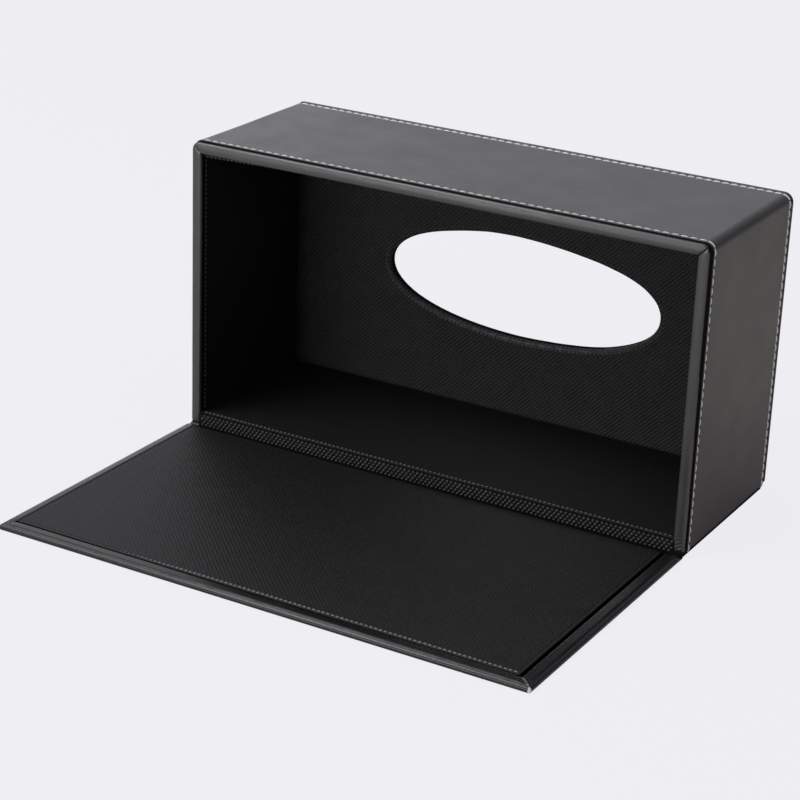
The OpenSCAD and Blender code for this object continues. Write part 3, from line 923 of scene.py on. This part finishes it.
# %% Four panels
LINING_T = 1.1
IN = HALF - WALL                  # half of the inside length
CEILING = TOP - WALL
INSIDE_BACK = 108.0
FLOOR_EDGE, SIDE_EDGE, CEILING_EDGE = 1.15, 4.1, 1.9     # the panels begin this far in
FRONT_SEAM = 2.1                  # the floor's sewn row behind the rim
SEAM_IN = 1.1                     # the other sewn rows behind their panel's edge
TUCK = 0.9                        # panels run this far under each other in the corners
DROOP = 1.0                       # the ceiling panel's front edge hangs down by this
X_WAY, Y_WAY, Z_WAY = np.eye(3)
inner_depth = INSIDE_BACK - RIM_Y
long_size = 2 * (IN + TUCK)
side_size = (CEILING - FLOOR + 2 * TUCK, inner_depth - SIDE_EDGE)
panels = (
    ("floor_panel", "lining_bottom", (-IN - TUCK, RIM_Y + FLOOR_EDGE, FLOOR - LINING_T),
     (X_WAY, Y_WAY, Z_WAY), (long_size, inner_depth - 1.2), FRONT_SEAM - FLOOR_EDGE, 0.0),
    ("left_panel", "lining_left", (-IN - LINING_T, RIM_Y + SIDE_EDGE, FLOOR - TUCK),
     (Z_WAY, Y_WAY, X_WAY), side_size, SEAM_IN, 0.0),
    ("right_panel", "lining_right", (IN + LINING_T, RIM_Y + SIDE_EDGE, FLOOR - TUCK),
     (Z_WAY, Y_WAY, -X_WAY), side_size, SEAM_IN, 0.0),
    ("ceiling_panel", "lining_top", (-IN - TUCK, RIM_Y + CEILING_EDGE, CEILING + LINING_T),
     (X_WAY, Y_WAY, -Z_WAY), (long_size, inner_depth - CEILING_EDGE), SEAM_IN, DROOP))
for seed, (name, stands_for, corner, ways, size, seam, droop) in enumerate(panels, 20):
    piece = panel_surface(name, corner, ways, size, LINING_T, 0.55, [("v", seam)], 0.12, seed,
                          droop)
    finish_piece(piece, SMOOTH_LINING, "box", [stands_for])


# %% [markdown]
# ## The back's lining
# The back's lining has the slot in it. It uses the same kind of rings as the back
# cover, from the slot's rounded edge out to the corners behind the side panels. Cloth
# turned round an oval has too much length, so its edge puckers. A lighter colour on
# the lower part of the roll, strongest where it faces up, is a painted highlight, and
# the cloth's wall inside the slot gets painted shade.

# %% Back lining
def square_outline(inset):
    x, low, high = IN + 1.0, FLOOR - 1.0, CEILING + 1.0
    corners = [(-x, low), (x, low), (x, high), (-x, high), (-x, low)]
    sides = [np.linspace(a, b, count)[:-1]
             for a, b, count in zip(corners, corners[1:], (150, 80, 150, 80))]
    return np.concatenate(sides) * np.array([(x - inset) / x, 1.0])


def lining_rings():
    face, roll = INSIDE_BACK, 1.35
    rings = [(0, 0.9, 111.0), (0, 0.35, 111.3), (0, 0.2, 111.0), (0, 0.34, 110.5),
             (0, 0.20, 110.1), (0, 0.36, 109.7), (0, 0.20, 109.45)]
    rings += [(0, 0.20 + roll - roll * math.cos(t), 109.2 - 1.2 * math.sin(t))
              for t in np.radians((12, 25, 38, 51, 64, 77, 90))]
    rings += [(0, 1.85, face + 0.02), (0, 2.2, face + 0.34), (0, 2.6, face + 0.06),
              (0, 3.1, face), (0, 3.9, face)]
    rings += [(s, 0, face) for s in np.linspace(0.06, 0.94, 12)]
    return rings + [(1, 0.0, face), (1, 0.0, 109.1)]


rings = lining_rings()
from_middle = square_outline(0.0) - (0, SLOT_Z)
# painted highlight on the lower part of the roll, strongest where the cloth faces up
facing_up = unit(0.1 - from_middle[:, 1] / np.linalg.norm(from_middle, axis=1))
angles = np.arctan2(*from_middle.T)
uneven = 0.65 + 0.35 * np.sin(angles * 37) * np.sin(angles * 11)
on_roll = [ridge(value - 1.1, 0.55) * (share == 0 and y < 109.3) for share, value, y in rings]
# painted shade on the cloth's wall inside the slot
lining_shade = [float(share == 0 and y > 109.3) for share, value, y in rings]
back_lining = plate_with_slot("back_panel", square_outline, rings, 5.0, {
    "shade": lining_shade, "raised": 0.9 * np.outer(on_roll, facing_up * uneven)}, 0.10)
measure_cloth(back_lining, (0, 0, 0), -X_WAY, Z_WAY)
finish_piece(back_lining, LINING, "box", ["lining_back"])

# %% [markdown]
# ## Base panel and flap
# The base panel and the flap are the two boards of one leather cover. Both have the
# leather turned round three edges, so both use one sweep: an edge section carried
# round three sides of a rectangle, with a small bend at each outer corner and the
# hems meeting in a mitre. The section is rounded above and below, which gives the
# long highlight along the flap's free edge, and a near-white painted highlight along
# that edge and the mitres adds to it. On the flap, the left hem and the front hem came
# out narrower than the right one, and the left half of the front hem shows the crease
# of the leather folded in under it. The base panel gets the near-black matt finish,
# which paints the shade its edge lies in under the box.

# %% Three-sided path
HEM_W = 6.5
LEFT_NARROW, FRONT_NARROW = 1.9, 0.8
# the closed side faces -Y where way is -1, and +Y where it is 1
Cover = namedtuple("Cover", "half front rear way corner_r")


def three_sides(cover, step=2.0):
    """A path down the left side, along the front and up the right: for each place its
    outer point, the inward direction of the mitred offset, and 1 on a bend."""
    half, front, rear, way, corner_r = cover
    length = abs(front - rear)
    fine = np.array([0.0, 0.15, 0.3, 0.5, 0.8, 1.2, 1.8, 2.6, 3.6, 5.0, 6.6])
    side = np.concatenate([np.linspace(0, length - 8.0, int(length / step)), length - fine[::-1]])
    rows = [(-half, rear - (rear - front) * t / length, 1, 0, 0)
            for t in side[side <= length - corner_r - 1e-6]]
    rows += [(-half, front, math.cos(a), -way * math.sin(a), 1)
             for a in np.radians(np.linspace(0, 90, 7))]
    xs = np.concatenate([fine, np.linspace(8.0, half - 0.01, int(half / step))])
    rows += [(-half + t, front, 0, -way, 0) for t in xs[xs >= corner_r + 1e-6]]
    rows = np.array(rows)
    return np.vstack([rows, rows[::-1] * (-1, 1, -1, 1, 1)])


def hem_points(rows, cover, inset, height):
    """Rings of the swept edge. At a corner the inset runs along the mitre."""
    x0, y0, nx, ny, corner = (rows[:, k:k + 1] for k in range(5))
    r = np.maximum(cover.corner_r - inset, 0)
    centre = np.maximum(cover.corner_r, inset)
    cx, cy = np.sign(x0) * (cover.half - centre), cover.front - cover.way * centre
    x, y = x0 + nx * inset, y0 + ny * inset
    on_side = (np.abs(nx) > 0.5) & (corner < 0.5)
    y = np.where(on_side, np.minimum(y, cy) if cover.way > 0 else np.maximum(y, cy), y)
    x = np.where((corner < 0.5) & ~on_side,
                 np.sign(x) * np.minimum(np.abs(x), cover.half - centre), x)
    x = np.where(corner > 0.5, cx - nx * r, x)
    y = np.where(corner > 0.5, cy - ny * r, y)
    return np.stack([x, y, height], -1)


# %% Three-sided hem
def edge_section(thick, r_low, r_top, inner_r, tuck, sweep=1.0):
    """From the underside's middle, round the edge, over the hem and down to the tuck.
    A sweep above 1 draws the upper bend out over the hem, like leather over soft board."""
    low = [(HEM_W + 3.0, 0.0), (HEM_W * 0.6, 0.0), (r_low + 0.8, 0.0)]
    low += arc(r_low, r_low, r_low, 270, 180, 6)
    top = [(p[0] * sweep, p[1]) for p in arc(r_top, thick - r_top, r_top, 180, 90, 12)]
    flat = [(v, thick) for v in np.linspace(r_top * sweep + 0.4, HEM_W - inner_r - 0.3, 7)]
    inner = arc(HEM_W - inner_r, thick - inner_r, inner_r, 90, 0, 6)
    return np.array(low + top + flat + inner + [(HEM_W, tuck + 0.15), (HEM_W + 0.15, tuck),
                                                (HEM_W + 3.0, tuck)])


# %% Hemmed cover
def narrowed(t, amount):
    """A hem that came out narrower: what lies t from its edge moves out, most of all
    the hem's inner edge."""
    fade = np.exp(-np.clip(t - HEM_W - 0.6, 0, None) / 40.0)
    return t - amount * unit(t / HEM_W) ** 2 * np.where(t < HEM_W + 0.6, 1, fade)


def hemmed_panel(name, cover, section, mitre, seed):
    """mitre is how far the leather sinks where two hems meet."""
    half, front, rear, way, corner_r = cover
    rows = three_sides(cover)
    inset, height = (np.broadcast_to(section[:, k], (len(rows), len(section))) for k in (0, 1))
    thick = section[:, 1].max()
    points = hem_points(rows, cover, inset, height)
    upper = (section[:, 1] > thick * 0.55)[None, :] & (inset < HEM_W - 0.05)
    x, y, z = (points[..., k] for k in range(3))
    gap = np.abs((half - np.abs(x)) - (-way) * (y - front)) / math.sqrt(2)
    on_hem = unit((inset - 0.9) / 1.2)
    z -= upper * on_hem * mitre * (0.5 * ridge(gap - 0.75, 0.3) + 0.3 * ridge(gap, 2.0))
    z += upper * (0.05 * lumps(x, y, seed, 22.0) * on_hem)
    crease = ridge(inset - 1.9 - 0.25 * lumps(x, y, seed + 1, 40.0), 0.3)
    z -= upper * unit((-10 - x) / 30) * crease * mitre * 0.35
    np.minimum(z, thick, out=z)
    # painted highlight: a near-white colour along the rolled free edge and the mitre lines,
    # brightest on the gathered corners
    fan = (rows[:, 4:5] > 0.5) & (section[:, 1] > 0.3)[None, :] & (inset < 1.2)
    free = (np.abs(rows[:, 2:3]) < 0.5) | (rows[:, 4:5] > 0.5)
    edge = ridge(inset - 1.5, 0.55) * (section[:, 1] > thick * 0.5)[None, :]
    wear_and_highlight = edge * np.where(free, 0.34, 0.05) + upper * on_hem * mitre * ridge(
        gap, 0.4) * np.where(x > 0, 0.9, 0.3)
    wear_and_highlight = unit(np.where(fan, mitre * np.where(x > 0, 1.9, 0.5), wear_and_highlight))
    # painted shade: the groove at the hem's inner edge is near-black, and the hem's left part is
    # darkened
    inner = (inset > HEM_W - 0.25) & (section[:, 1] < thick - 0.15)[None, :]
    left_painted_shade = 0.16 * upper * unit((20 - x) / 60) * np.clip(1 - (y - front) / 90, 0.2, 1)
    if way < 0:
        y[:] = front + narrowed(y - front, FRONT_NARROW * (0.75 - 0.25 * x / half))
        x[:] = narrowed(x + half, LEFT_NARROW) - half
    n, m = points.shape[:2]
    faces = grid_faces(n, m)
    faces.append(tuple(range(0, n * m, m)))                   # the flat underside
    faces.append(tuple(range(m - 1, n * m, m))[::-1])         # under the lining or the box
    faces.append(tuple(range(m))[::-1])
    faces.append(tuple(range((n - 1) * m, n * m)))
    faces.append(((n - 1) * m, 0, m - 1, n * m - 1))
    return new_mesh(name, points.reshape(-1, 3), faces,
                    {"wear_and_highlight": wear_and_highlight.ravel(), "shade": np.maximum(inner, left_painted_shade).ravel()})


# %% Flap cover and base cover
flap_section = edge_section(FLAP_T, 1.2, 1.75, 0.45, 2.2, 1.65)
flap_cover = hemmed_panel("flap_cover", Cover(FLAP_HALF, FLAP_FRONT, FLAP_REAR, -1, 1.1),
                          flap_section, 0.55, 31)
finish_piece(flap_cover, HEM, "flap", ["flap_leather"])

base_section = edge_section(BASE_T, 0.5, 0.6, 0.3, 2.6)
base_cover = hemmed_panel("base_cover", Cover(PANEL_HALF, PANEL_BACK, RIM_Y, 1, 1.0),
                          base_section, 0.2, 37)
# painted shade: the base panel gets the near-black matt finish, for the shade its edge lies in
# under the box
finish_piece(base_cover, SHADE_FINISH, "box", ["base_leather"])

# %% [markdown]
# The flap's lining is a cloth-covered card that lies inside the hems. It is sewn near
# its three free edges, like the panels in the box.

# %% Flap lining
GROOVE = 0.5
RIGHT_GAP = 1.2                   # the card sits a little to the left, as it was glued
FLAP_SEAM = 1.2                   # the sewn rows lie this far inside the card's edge
lining_half = FLAP_HALF - HEM_W - GROOVE
lining_front = FLAP_FRONT + HEM_W + GROOVE
lining_left = lining_half + LEFT_NARROW + 0.45
card_size = (lining_left + lining_half - RIGHT_GAP, FLAP_REAR - lining_front)
flap_lining = panel_surface(
    "flap_panel", (-lining_left, lining_front, 2.2), (X_WAY, Y_WAY, Z_WAY), card_size, 0.75, 0.4,
    [("u", FLAP_SEAM), ("u", card_size[0] - FLAP_SEAM), ("v", FLAP_SEAM)], 0.05, 41)
finish_piece(flap_lining, FLAP_LINING, "flap", ["flap_lining"])

# %% [markdown]
# ## The hinge
# Two strips join the boards. The leather below is one flat strip that folds about the
# hinge line. The cloth above it starts under the floor's lining, runs down the front
# edge of floor and base panel, turns, and lies on the leather up to the flap. Both
# bend, and neither is attached to either body.

# %% Hinge leather
def strip_mesh(name, xs, path, under, marks=None):
    """A strip along x. path and under hold the (y, z) of its outer and inner face."""
    rings = np.empty((len(xs), 2 * path.shape[-2], 3))
    rings[..., 0] = xs[:, None]
    rings[:, :path.shape[-2], 1:] = path
    rings[:, path.shape[-2]:, 1:] = under[::-1]
    return loft(name, rings, marks)


def hinge_strip_mesh():
    """Flat in the middle. At both ends its edge is turned in, so it is thicker there."""
    half = PANEL_HALF + 0.2
    xs = np.array(sorted({*np.round(np.linspace(-118, 118, 60), 3), *(
        side * v for side in (-1, 1) for v in np.round(np.linspace(118, half, 15), 3))}))
    ys = np.linspace(RIM_Y + 0.4, FLAP_REAR - 0.6, 22)
    t = unit((half - np.abs(xs)) / 6.0)               # 0 at the ends
    puff = np.where(t > 0.92, (1 - t) / 0.08, np.sqrt(unit(1 - (1 - t / 0.18) ** 2)))
    puff = np.where((t > 0.18) & (t <= 0.92), 1.0, puff)
    valley = 2.85 - 0.75 * ridge(ys - 22.9, 0.8)               # sinks along the fold
    top = 0.8 + (valley[None, :] - 0.8) * puff[:, None]
    path = np.stack([np.broadcast_to(ys, top.shape), top], -1)
    under = np.column_stack([ys, np.full(len(ys), 0.02)])
    # painted shade: the strip's right end is marked, so it gets the near-black finish
    return strip_mesh("hinge_strip", xs, path, under, {"shade": 0.9 * (xs > 100)[:, None]})


hinge_strip = hinge_strip_mesh()
finish_piece(hinge_strip, HEM, None, ["hinge_leather"], SHADE_FINISH)
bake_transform(hinge_strip)

# %% [markdown]
# The cloth's pressed dots are large enough to catch the light on its upright part, so
# here they are geometry. A Geometry Nodes tree lays a grid over the upright face,
# shifts every second row by half a pitch, and sets a low dome on each point. Each
# dome also carries a painted highlight, so the finish makes it lighter. The grown
# mesh is kept as a plain mesh, so it can be measured and exported.

# %% Growing a tree
GEOMETRY = {"Geometry": "Geometry"}


def grown(name, source, tree, values):
    """Evaluates a tree on a source object and keeps the result as a plain mesh."""
    tree.is_modifier = True
    modifier = source.modifiers.new("grow", "NODES")
    modifier.node_group = tree
    sockets = {item.name: item.identifier for item in tree.interface.items_tree}
    for label, value in values.items():
        modifier[sockets[label]] = value
    bpy.context.view_layer.update()
    evaluated = source.evaluated_get(bpy.context.evaluated_depsgraph_get())
    mesh = bpy.data.meshes.new_from_object(evaluated)
    mesh.name = name
    bpy.data.objects.remove(source)
    return placed(name, mesh)


def in_metres(lengths, **others):
    """Named inputs: lengths in mm turned into metres, and the others as they are."""
    return {**{label: value * MM for label, value in lengths.items()}, **others}


def xyz(tree, x=0.0, y=0.0, z=0.0):
    return node(tree, "ShaderNodeCombineXYZ", {0: x, 1: y, 2: z})


def random_float(tree, low, high, seed):
    made = node(tree, "FunctionNodeRandomValue", {"Seed": seed}, data_type="FLOAT")
    for socket, value in zip([s for s in made.inputs if s.enabled], (low, high)):
        fill(tree, socket, value)
    return [s for s in made.outputs if s.enabled][0]


def realised(tree, instances):
    """Instances as one mesh, shaded smooth."""
    real = node(tree, "GeometryNodeRealizeInstances", {0: instances})
    return node(tree, "GeometryNodeSetShadeSmooth", {0: real})


# %% Dome tree
def dome_tree():
    tree, given, out = new_tree("pressed_domes", "GeometryNodeTree", {
        **GEOMETRY, "Width": 0.24, "Rows": 6, "Pitch": 0.0021, "Row Step": 0.00145,
        "Dome Radius": 0.0007, "Slant": 0.9, "Stretch": 1.5, "Dome Height": 0.00022,
        "Seed": 4, "Place": "Vector", "Cloth": "Material"}, GEOMETRY)
    add, calc = partial(node, tree), partial(maths, tree)
    pitch, row_step, radius = (given[k] for k in ("Pitch", "Row Step", "Dome Radius"))
    columns = calc("ADD", calc("FLOOR", calc("DIVIDE", given["Width"], pitch)), 1.0)
    tall = calc("MULTIPLY", row_step, calc("SUBTRACT", given["Rows"], 1.0))
    wide = calc("MULTIPLY", pitch, calc("SUBTRACT", columns, 1.0))
    grid = add("GeometryNodeMeshGrid", {
        "Size X": wide, "Size Y": tall, "Vertices X": columns, "Vertices Y": given["Rows"]})
    where = add("ShaderNodeSeparateXYZ", {0: add("GeometryNodeInputPosition")}).outputs
    row = calc("ROUND", calc("DIVIDE", calc("MULTIPLY_ADD", tall, 0.5, where[1]), row_step))
    shift = calc("MULTIPLY", calc("MODULO", row, 2.0), calc("MULTIPLY", pitch, 0.5))
    moved = add("GeometryNodeSetPosition", {"Geometry": grid, "Offset": xyz(tree, shift)})
    dome = add("GeometryNodeMeshIcoSphere", {"Radius": radius, "Subdivisions": 2})
    flatness = calc("DIVIDE", given["Dome Height"], radius)
    squat = add("GeometryNodeTransform", {
        "Geometry": dome, "Scale": xyz(tree, given["Stretch"], 1.0, flatness),
        "Rotation": xyz(tree, 0.0, 0.0, given["Slant"])})
    spread = add("GeometryNodeInstanceOnPoints", {
        "Points": moved, "Instance": squat,
        "Scale": random_float(tree, 0.86, 1.1, given["Seed"])})
    stood = add("GeometryNodeTransform", {
        "Geometry": spread, "Translation": given["Place"], "Rotation": (math.pi / 2, 0, 0)})
    # painted highlight: every dome is marked, so the cloth's finish makes it lighter
    marked = add("GeometryNodeStoreNamedAttribute", {
        "Geometry": realised(tree, stood), "Name": "raised"}, data_type="FLOAT", domain="POINT")
    [s for s in marked.inputs if s.name == "Value" and s.enabled][0].default_value = 1.0
    joined = add("GeometryNodeJoinGeometry", {0: marked})
    fill(tree, joined.inputs[0], given["Geometry"])
    fill(tree, out[0], add("GeometryNodeSetMaterial", {
        "Geometry": joined, "Material": given["Cloth"]}))
    return tree


# %% Hinge cloth
CLOTH_T = 0.55
CLOTH_HALF = IN - 0.05            # half of the strip's length
LIP_TOP = 7.6
# painted shade: below and above these heights the cloth's colour is darkened
SHADE_PAINTED_BELOW, SHADE_PAINTED_ABOVE = 2.9, 7.2 # the cloth is in shadow below and above its upright part


def cloth_path():
    """The cloth's outer face as (y, z), from the flap up to under the floor's lining."""
    down = [(RIM_Y + 2.6, 7.02), (RIM_Y + 1.9, 7.05), (RIM_Y + 1.2, 7.2)]
    down += arc(RIM_Y + 0.7, LIP_TOP - 0.7, 0.7, 75, 180, 8)
    down += [(RIM_Y, z) for z in np.linspace(LIP_TOP - 0.9, 3.1, 7)]
    down += [(RIM_Y + 0.12, 2.7), (RIM_Y + 0.12, 2.3)]
    down += arc(RIM_Y - 0.7, 2.2, 0.8, 0, -90, 6)
    down += [(y, 1.4) for y in np.linspace(RIM_Y - 1.3, FLAP_REAR + 0.1, 8)]
    return np.array(down[::-1])


path = cloth_path()
ahead = np.gradient(path, axis=0)
ahead /= np.linalg.norm(ahead, axis=1)[:, None]
under = path - CLOTH_T * np.stack([-ahead[:, 1], ahead[:, 0]], 1)
xs = np.linspace(-CLOTH_HALF, CLOTH_HALF, int(CLOTH_HALF) + 1)
cloth_base = strip_mesh("hinge_cloth_plain", xs, path, under)
measure_cloth(cloth_base, (-IN, RIM_Y, 0), -X_WAY, Z_WAY)
# painted shade on the cloth below and above its upright part
deep = [0.85 if v.co.z < SHADE_PAINTED_BELOW * MM else (0.6 if v.co.z > SHADE_PAINTED_ABOVE * MM else 0.0)
        for v in cloth_base.data.vertices]
cloth_base.data.attributes.new("shade", "FLOAT", "POINT").data.foreach_set("value", deep)
cloth_base.data.materials.append(LIP_CLOTH)
hinge_cloth = grown("hinge_cloth", cloth_base, dome_tree(), in_metres(
    {"Width": 2 * IN - 3, "Pitch": DOT_PITCH, "Row Step": 1.42, "Dome Radius": 0.50,
     "Dome Height": 0.36}, Rows=4, Slant=0.9, Stretch=1.38,
    Place=(0, (RIM_Y + 0.02) * MM, 4.45 * MM), Cloth=LIP_CLOTH))
finish_piece(hinge_cloth, LIP_CLOTH, None, ["lip_fabric", "hinge_fabric"])
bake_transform(hinge_cloth)

# %% [markdown]
# ## Stitches
# All seams use one Geometry Nodes tree. It takes lines that carry an outward
# direction, steps along them by the stitch's pitch, and sets one short bowed thread
# at each step with both ends sunk in their holes. The pitch, length, thickness and
# lean are inputs, so the pale rows outside and the fine dark rows inside come from
# the same tree.

# %% Stitch tree
def stitch_tree():
    tree, given, out = new_tree("sewn_row", "GeometryNodeTree", {
        **GEOMETRY, "Pitch": 0.004, "Length": 0.0032, "Thickness": 0.0009, "Rise": 0.0004,
        "Sink": 0.0003, "Lean": 0.0, "Unevenness": 0.05, "Seed": 2, "Thread": "Material"},
        GEOMETRY)
    add, calc = partial(node, tree), partial(maths, tree)
    line = add("GeometryNodeMeshToCurve", {0: given["Geometry"]})
    steps = add("GeometryNodeResampleCurve", {
        "Curve": line, "Length": given["Pitch"]}, mode="LENGTH")
    # the thread is a bowed curve, thin at both ends, with a round section
    half = calc("MULTIPLY", given["Length"], 0.5)
    sink = calc("MULTIPLY", given["Sink"], -1.0)
    bow = add("GeometryNodeCurveQuadraticBezier", {
        "Resolution": 6, "Start": xyz(tree, calc("MULTIPLY", half, -1.0), 0.0, sink),
        "Middle": xyz(tree, 0.0, 0.0, calc("MULTIPLY", given["Rise"], 2.0)),
        "End": xyz(tree, half, 0.0, sink)})
    share = add("GeometryNodeSplineParameter").outputs["Factor"]
    belly = calc("SINE", calc("MULTIPLY", share, math.pi))
    bow = add("GeometryNodeSetCurveRadius", {
        "Curve": bow, "Radius": calc("MULTIPLY_ADD", belly, 0.45, 0.55)})
    ring = add("GeometryNodeCurvePrimitiveCircle", {
        "Resolution": 6, "Radius": calc("MULTIPLY", given["Thickness"], 0.5)})
    cord = add("GeometryNodeCurveToMesh", {
        "Curve": bow, "Profile Curve": ring, "Fill Caps": True})
    # its z points outwards, its x along the seam, and each one leans a little differently
    out_way = add("GeometryNodeInputNamedAttribute", {"Name": "out"}, data_type="FLOAT_VECTOR")
    turn = add("FunctionNodeAxesToRotation", {
        "Primary Axis": out_way.outputs["Attribute"],
        "Secondary Axis": add("GeometryNodeInputTangent")},
        primary_axis="Z", secondary_axis="X")
    lean, uneven = given["Lean"], given["Unevenness"]
    yaw = add("FunctionNodeAxisAngleToRotation", {"Axis": (0, 0, 1), "Angle": random_float(
        tree, calc("SUBTRACT", lean, uneven), calc("ADD", lean, uneven), given["Seed"])})
    turned = add("FunctionNodeRotateRotation", {0: turn, 1: yaw}, rotation_space="LOCAL")
    sewn = add("GeometryNodeInstanceOnPoints", {
        "Points": steps, "Instance": cord, "Rotation": turned})
    fill(tree, out[0], add("GeometryNodeSetMaterial", {
        "Geometry": realised(tree, sewn), "Material": given["Thread"]}))
    return tree


STITCHES = stitch_tree()


# %% Sewing along lines
def sewn_lines(name, lines, values, material, body):
    """lines: (points in mm, outward directions, closed), as one piece of thread."""
    points, outs, edges = [], [], []
    for p, o, closed in lines:
        start, count = len(points), len(p)
        points += [tuple(v * MM for v in q) for q in p]
        outs += [tuple(v) for v in o]
        edges += [(start + i, start + (i + 1) % count)
                  for i in range(count if closed else count - 1)]
    mesh = bpy.data.meshes.new(name + "_lines")
    mesh.from_pydata(points, edges, [])
    mesh.attributes.new("out", "FLOAT_VECTOR", "POINT").data.foreach_set(
        "vector", np.array(outs, np.float32).ravel())
    source = placed(name + "_lines", mesh)
    piece = grown(name, source, STITCHES, {**values, "Thread": material})
    return finish_piece(piece, material, body)


def row_of(points, out, closed=False):
    """A line of stitches that all face the same way."""
    return points, np.tile(out, (len(points), 1)), closed


# %% [markdown]
# Outside, the rows follow the sleeve's two seams and the slot. Inside, each panel has
# its own row in dark thread, and the flap's front row is a little coarser and greyer.
# Where cloth closes over a row, the line sinks in, so the stitches show less.

# %% Pale rows outside
def row_round_box(depth):
    out = np.stack([seam_rows[:, 2], 0 * seam_rows[:, 2], seam_rows[:, 3]], 1)
    return line_on(seam_rows, SKIN + 0.12, depth), out, False


def slot_row(grow, y, way, buried=0.0):
    """A row round the slot. It may sink into the cloth, save along the lower edge."""
    angles = np.linspace(0, 2 * math.pi, 400, endpoint=False)
    p = oval_at(angles, grow)
    y = y + buried * unit(0.75 + 2 * np.sin(angles))
    return row_of(np.column_stack([p[:, 0], y, p[:, 1]]), [0, way, 0], True)


sewn_lines("outer_stitches", [row_round_box(FRONT_ROW), row_round_box(BACK_ROW),
                              slot_row(2.1, BACK_Y - 0.5, 1)], in_metres(
    {"Pitch": STITCH_PITCH, "Length": 3.3, "Thickness": 1.1, "Rise": 0.20, "Sink": 0.45},
    Lean=0.12, Unevenness=0.06, Seed=11), PALE_THREAD, "box")


# %% Dark rows inside
def straight(a, b, out, step=2.0):
    a, b = np.array(a, float), np.array(b, float)
    count = max(2, int(np.linalg.norm(b - a) / step))
    return row_of(a + (b - a) * np.linspace(0, 1, count)[:, None], out)


def ceiling_row():
    """Along the front edge of the ceiling panel, as far down as it droops."""
    x = np.linspace(-IN + 3, IN - 3, 160)
    drop = DROOP * (1 + 1.1 * ridge(x + IN + TUCK, 28.0))
    return row_of(np.column_stack([x, np.full(160, RIM_Y + CEILING_EDGE + 0.35),
                                   CEILING + 0.1 - drop]), [0, -0.55, -0.83])


def wall_row(x, way):
    y = RIM_Y + SIDE_EDGE + SEAM_IN
    return straight((x, y, FLOOR + 1), (x, y, CEILING - 3), (way, 0, 0))


seam_y = RIM_Y + FRONT_SEAM
inner_lines = [
    straight((-IN + 3, seam_y, FLOOR - 0.1), (IN - 3, seam_y, FLOOR - 0.1), (0, 0, 1)),
    wall_row(-IN - 0.10, 1), wall_row(IN + 0.05, -1),
    ceiling_row(), slot_row(2.2, INSIDE_BACK + 0.2, -1, 0.42)]
fine_thread = in_metres(
    {"Pitch": 2.16, "Length": 1.0, "Thickness": 0.85, "Rise": 0.18, "Sink": 0.3},
    Lean=0.12, Unevenness=0.08, Seed=23)
sewn_lines("inner_stitches", inner_lines, fine_thread, DARK_THREAD, "box")

# %% Grey row on the flap
x_in = lining_half - FLAP_SEAM
x = np.linspace(-(x_in + LEFT_NARROW) + 1, x_in - RIGHT_GAP - 1, 120)
buried = 0.45 * unit((-35 - x) / 40)          # sinks into the fold on the left
front_row = np.column_stack([x, np.full(120, lining_front + FLAP_SEAM), FLAP_T - 0.25 - buried])
sewn_lines("flap_front_stitches", [row_of(front_row, [0, 0, 1])],
           {**fine_thread, **in_metres({"Length": 1.15, "Thickness": 1.0})},
           GREY_THREAD, "flap")

# %% [markdown]
# ## Boards and magnets
# The boards and magnets are inside the cover and keep their CAD shape. They still get
# their own finish, because the part can be taken apart.

# %% Hidden pieces
for name, piece in frame["nodes"].items():
    if "board" in name or "magnet" in name:
        piece.data.materials.clear()
        piece.data.materials.append(BOARD if "board" in name else MAGNET)
shown = sum(len(o.data.polygons) for o in scene.objects if o.type == "MESH" and not o.hide_render)
print("faces shown", shown)
